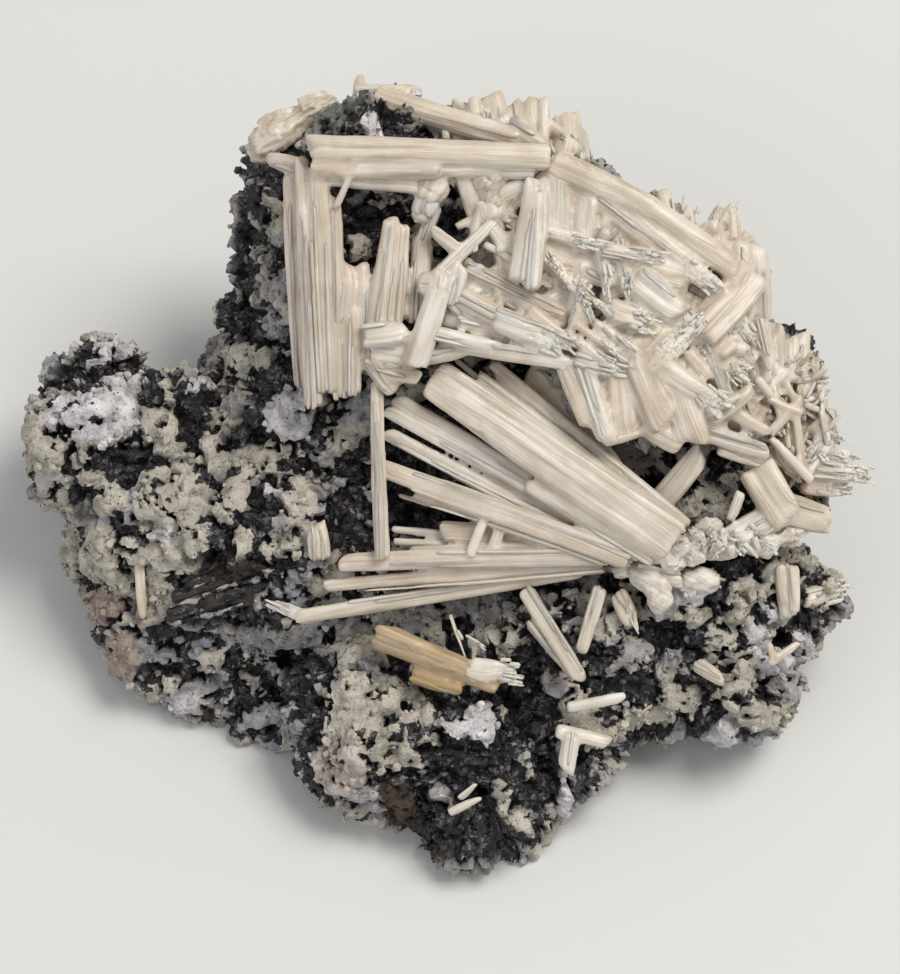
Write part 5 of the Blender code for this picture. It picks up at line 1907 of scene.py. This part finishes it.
GROUPS = (
    CrystalGroup("fan_of_blades", ("crystal_fan",), Habit.BLADE, FAN, 1, detail=0.22),
    CrystalGroup("columns_and_beam", ("corner_columns",), Habit.COLUMN, COLUMNS, 2),
    CrystalGroup(
        "jackstraw_crowd",
        ("crystal_crowd",),
        Habit.PRISM,
        CROWD,
        3,
        thickets=CROWD_THICKETS,
        detail=0.3,
    ),
    CrystalGroup("net_of_laths", ("lath_net",), Habit.NEEDLE, NET, 4, thickets=NET_THICKETS),
    CrystalGroup("stout_right_prisms", ("right_prisms",), Habit.PRISM, RIGHT_PRISMS, 5),
    CrystalGroup("crest_of_prisms", ("top_crest",), Habit.PRISM, CREST, 6, thickets=CREST_THICKETS),
    CrystalGroup("left_crest_prisms", ("left_crest",), Habit.CHALKY, LEFT_CREST, 7, "pale_crust"),
    CrystalGroup("knob_prism", ("white_knob",), Habit.CHALKY, KNOB, 8, "pale_crust"),
    CrystalGroup("golden_pair", ("golden_blades",), Habit.GOLDEN, GOLDEN_BLADES, 9),
    CrystalGroup("wedge_pair", ("wedge_prism",), Habit.BLADE, WEDGE_PRISM, 10),
    CrystalGroup("pale_point_pair", ("pale_point",), Habit.CHALKY, PALE_POINT, 11),
    CrystalGroup("scattered_laths", (), Habit.PRISM, SCATTERED, 12, thickets=APEX_THICKETS),
)
SLABS = (
    CrystalGroup(
        "brown_ledge", (), Habit.WEATHERED, LEDGE, 50, "galena_rock", cover=Cover.BROWN
    ),
    CrystalGroup(
        "ledge_seams", (), Habit.WEATHERED, LEDGE_SEAMS, 51, "pale_crust", cover=Cover.GREY
    ),
)
MASSES = (
    GrownMass(
        "left_crest_mass",
        ("left_crest",),
        LEFT_CREST_MASSES,
        tone=0.35,
        wear=0.15,
        turn=28,
        blocks=0.25,
        knobs=0.4,
        slot="pale_crust",
    ),
    GrownMass(
        "knob_mass",
        ("white_knob",),
        KNOB_MASSES,
        tone=0.0,
        wear=0.3,
        turn=-30,
        blocks=0.1,
        knobs=0.3,
        slot="pale_crust",
    ),
    GrownMass("hanging_mass", (), HANGING_MASSES, tone=0.2, wear=0.1, turn=60, blocks=0.15),
    GrownMass("apex_mass", (), APEX_MASSES, tone=0.1, wear=0.35, turn=20, blocks=0.35, knobs=0.4),
    GrownMass("crowd_mass", ("crystal_crowd",), CROWD_MASSES, tone=0.35, wear=0.0),
)
SINGLES = {
    "slanting_lath": Lath((16.5, -11.0, 0.2), (14.4, -18.4, 0.4), 1.7, 1.3),
    "grey_lath": Lath((18.5, -11.6, -0.4), (20.1, -15.2, 0.2), 2.1, 1.4, Habit.WEATHERED),
    "level_lath": Lath((12.8, -24.3, 0.2), (19.4, -23.0, 0.8), 1.3, 1.2),
    "short_prism": Lath((27.0, -19.4, -1.6), (30.2, -21.4, -0.6), 1.7, 1.5),
    "shaded_prism": Lath((37.0, -8.6, -4.0), (37.4, -14.4, -3.6), 2.8, 2.4),
    "right_spike": Lath((38.8, -12.4, -6.2), (43.4, -11.2, -7.4), 2.5, 2.4, Habit.FRAYED),
    "tilted_blade": Lath((23.2, -1.6, -0.6), (27.8, 3.9, 1.0), 2.9, 1.5),
    "striated_stub": Lath((-14.3, -8.0, -0.6), (-14.7, -4.0, -0.8), 2.6, 1.5),
    "left_needle": Lath((-34.2, -8.0, -9.2), (-33.8, -14.6, -9.8), 1.2, 1.2),
    "lower_needle": Lath((-0.2, -35.9, -0.4), (3.6, -34.1, 0.2), 1.0, 1.0),
}


# The studio


@dataclass(frozen=True)
class Lamp:
    """A soft panel of light, placed as it is seen from in front of the face."""

    place: Point  # across, up and out from the middle, in metres
    size: float  # metres across
    power: float  # watts
    colour: str

    def hang(self, name: str) -> None:
        """Puts the lamp in the scene.

        Args:
            name: the lamp's name.
        """
        data = bpy.data.lights.new(name, "AREA")
        data.size = self.size
        data.energy = self.power
        data.color = linear(self.colour)[:3]
        lamp = bpy.data.objects.new(name, data)
        across, up, out = self.place
        middle = FACE.middle * MM
        lamp.location = middle + FACE.across * across + FACE.up * up + FACE.out * out
        lamp.rotation_euler = (lamp.location - middle).to_track_quat("Z", "Y").to_euler()
        bpy.context.scene.collection.objects.link(lamp)


@dataclass(frozen=True)
class Studio:
    """The plain floor, the light and the camera."""

    floor: float = 3.0  # metres across
    floor_colour: str = "#D8D8D6"
    sky: float = 0.43  # the strength of the light from all round
    main: Lamp = Lamp((0.45, 0.55, 0.75), size=0.5, power=8.2, colour="#FFFCF6")
    fill: Lamp = Lamp((-0.6, -0.25, 0.7), size=0.8, power=2.0, colour="#F2F6FF")

    def set_up(self) -> None:
        """Builds the studio."""
        mesh = bmesh.new()
        bmesh.ops.create_grid(mesh, x_segments=1, y_segments=1, size=self.floor / 2)
        data = bpy.data.meshes.new("studio_floor")
        mesh.to_mesh(data)
        mesh.free()
        paper = bpy.data.materials.new("studio_paper")
        paper.use_nodes = True
        shader = paper.node_tree.nodes["Principled BSDF"]
        shader.inputs["Base Color"].default_value = linear(self.floor_colour)
        shader.inputs["Roughness"].default_value = 0.9
        data.materials.append(paper)
        floor = bpy.data.objects.new("studio_floor", data)
        bpy.context.scene.collection.objects.link(floor)
        self.main.hang("main_light")
        self.fill.hang("fill_light")
        world = bpy.data.worlds.new("studio")
        world.use_nodes = True
        world.node_tree.nodes["Background"].inputs["Strength"].default_value = self.sky
        world.node_tree.nodes["Background"].inputs["Color"].default_value = (1.0, 1.0, 1.0, 1.0)
        scene = bpy.context.scene
        scene.world = world
        scene.view_settings.view_transform = "Standard"
        self.place_camera(scene)

    def place_camera(self, scene: bpy.types.Scene) -> None:
        """Puts the camera where the face is seen straight on.

        Args:
            scene: the scene that it films.
        """
        data = bpy.data.cameras.new("camera")
        data.sensor_width = FACE.sensor
        data.lens = FACE.sensor * FACE.eye / FACE.picture
        data.clip_start = 0.01
        camera = bpy.data.objects.new("camera", data)
        camera.location = (FACE.middle + FACE.out * FACE.eye) * MM
        turn = Matrix((FACE.across, FACE.up, FACE.out)).transposed()
        camera.rotation_euler = turn.to_euler()
        scene.collection.objects.link(camera)
        scene.camera = camera


def main() -> None:
    """Builds every piece in order and reports each."""
    logging.basicConfig(level=logging.INFO, format="%(message)s")
    Studio().set_up()
    milky = Cerussite().make()
    crusted = CrustedGalena().make()
    rock = RockBlock(BODY, BACK, BEDS, MIDDLE + TOP + LEFT_ARM + LOWER_LEFT + BOTTOM + RIGHT)
    block = show(
        "galena_baryte_rock", rock.build(), crusted, ("matrix_block",), smooth=True
    )
    for crumbs in CRUMBS:
        crumbs.dress(block.data, crusted)
    for group in GROUPS:
        group.dress(milky)
    for seed, (node_name, lath) in enumerate(SINGLES.items(), start=30):
        habit = lath.habit or Habit.PRISM
        CrystalGroup(f"{node_name}_strands", (node_name,), habit, (lath,), seed).dress(milky)
    for slab in SLABS:
        slab.dress(crusted)
    for mass in MASSES:
        mass.dress(milky)
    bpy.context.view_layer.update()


if __name__ == "__main__":
    main()
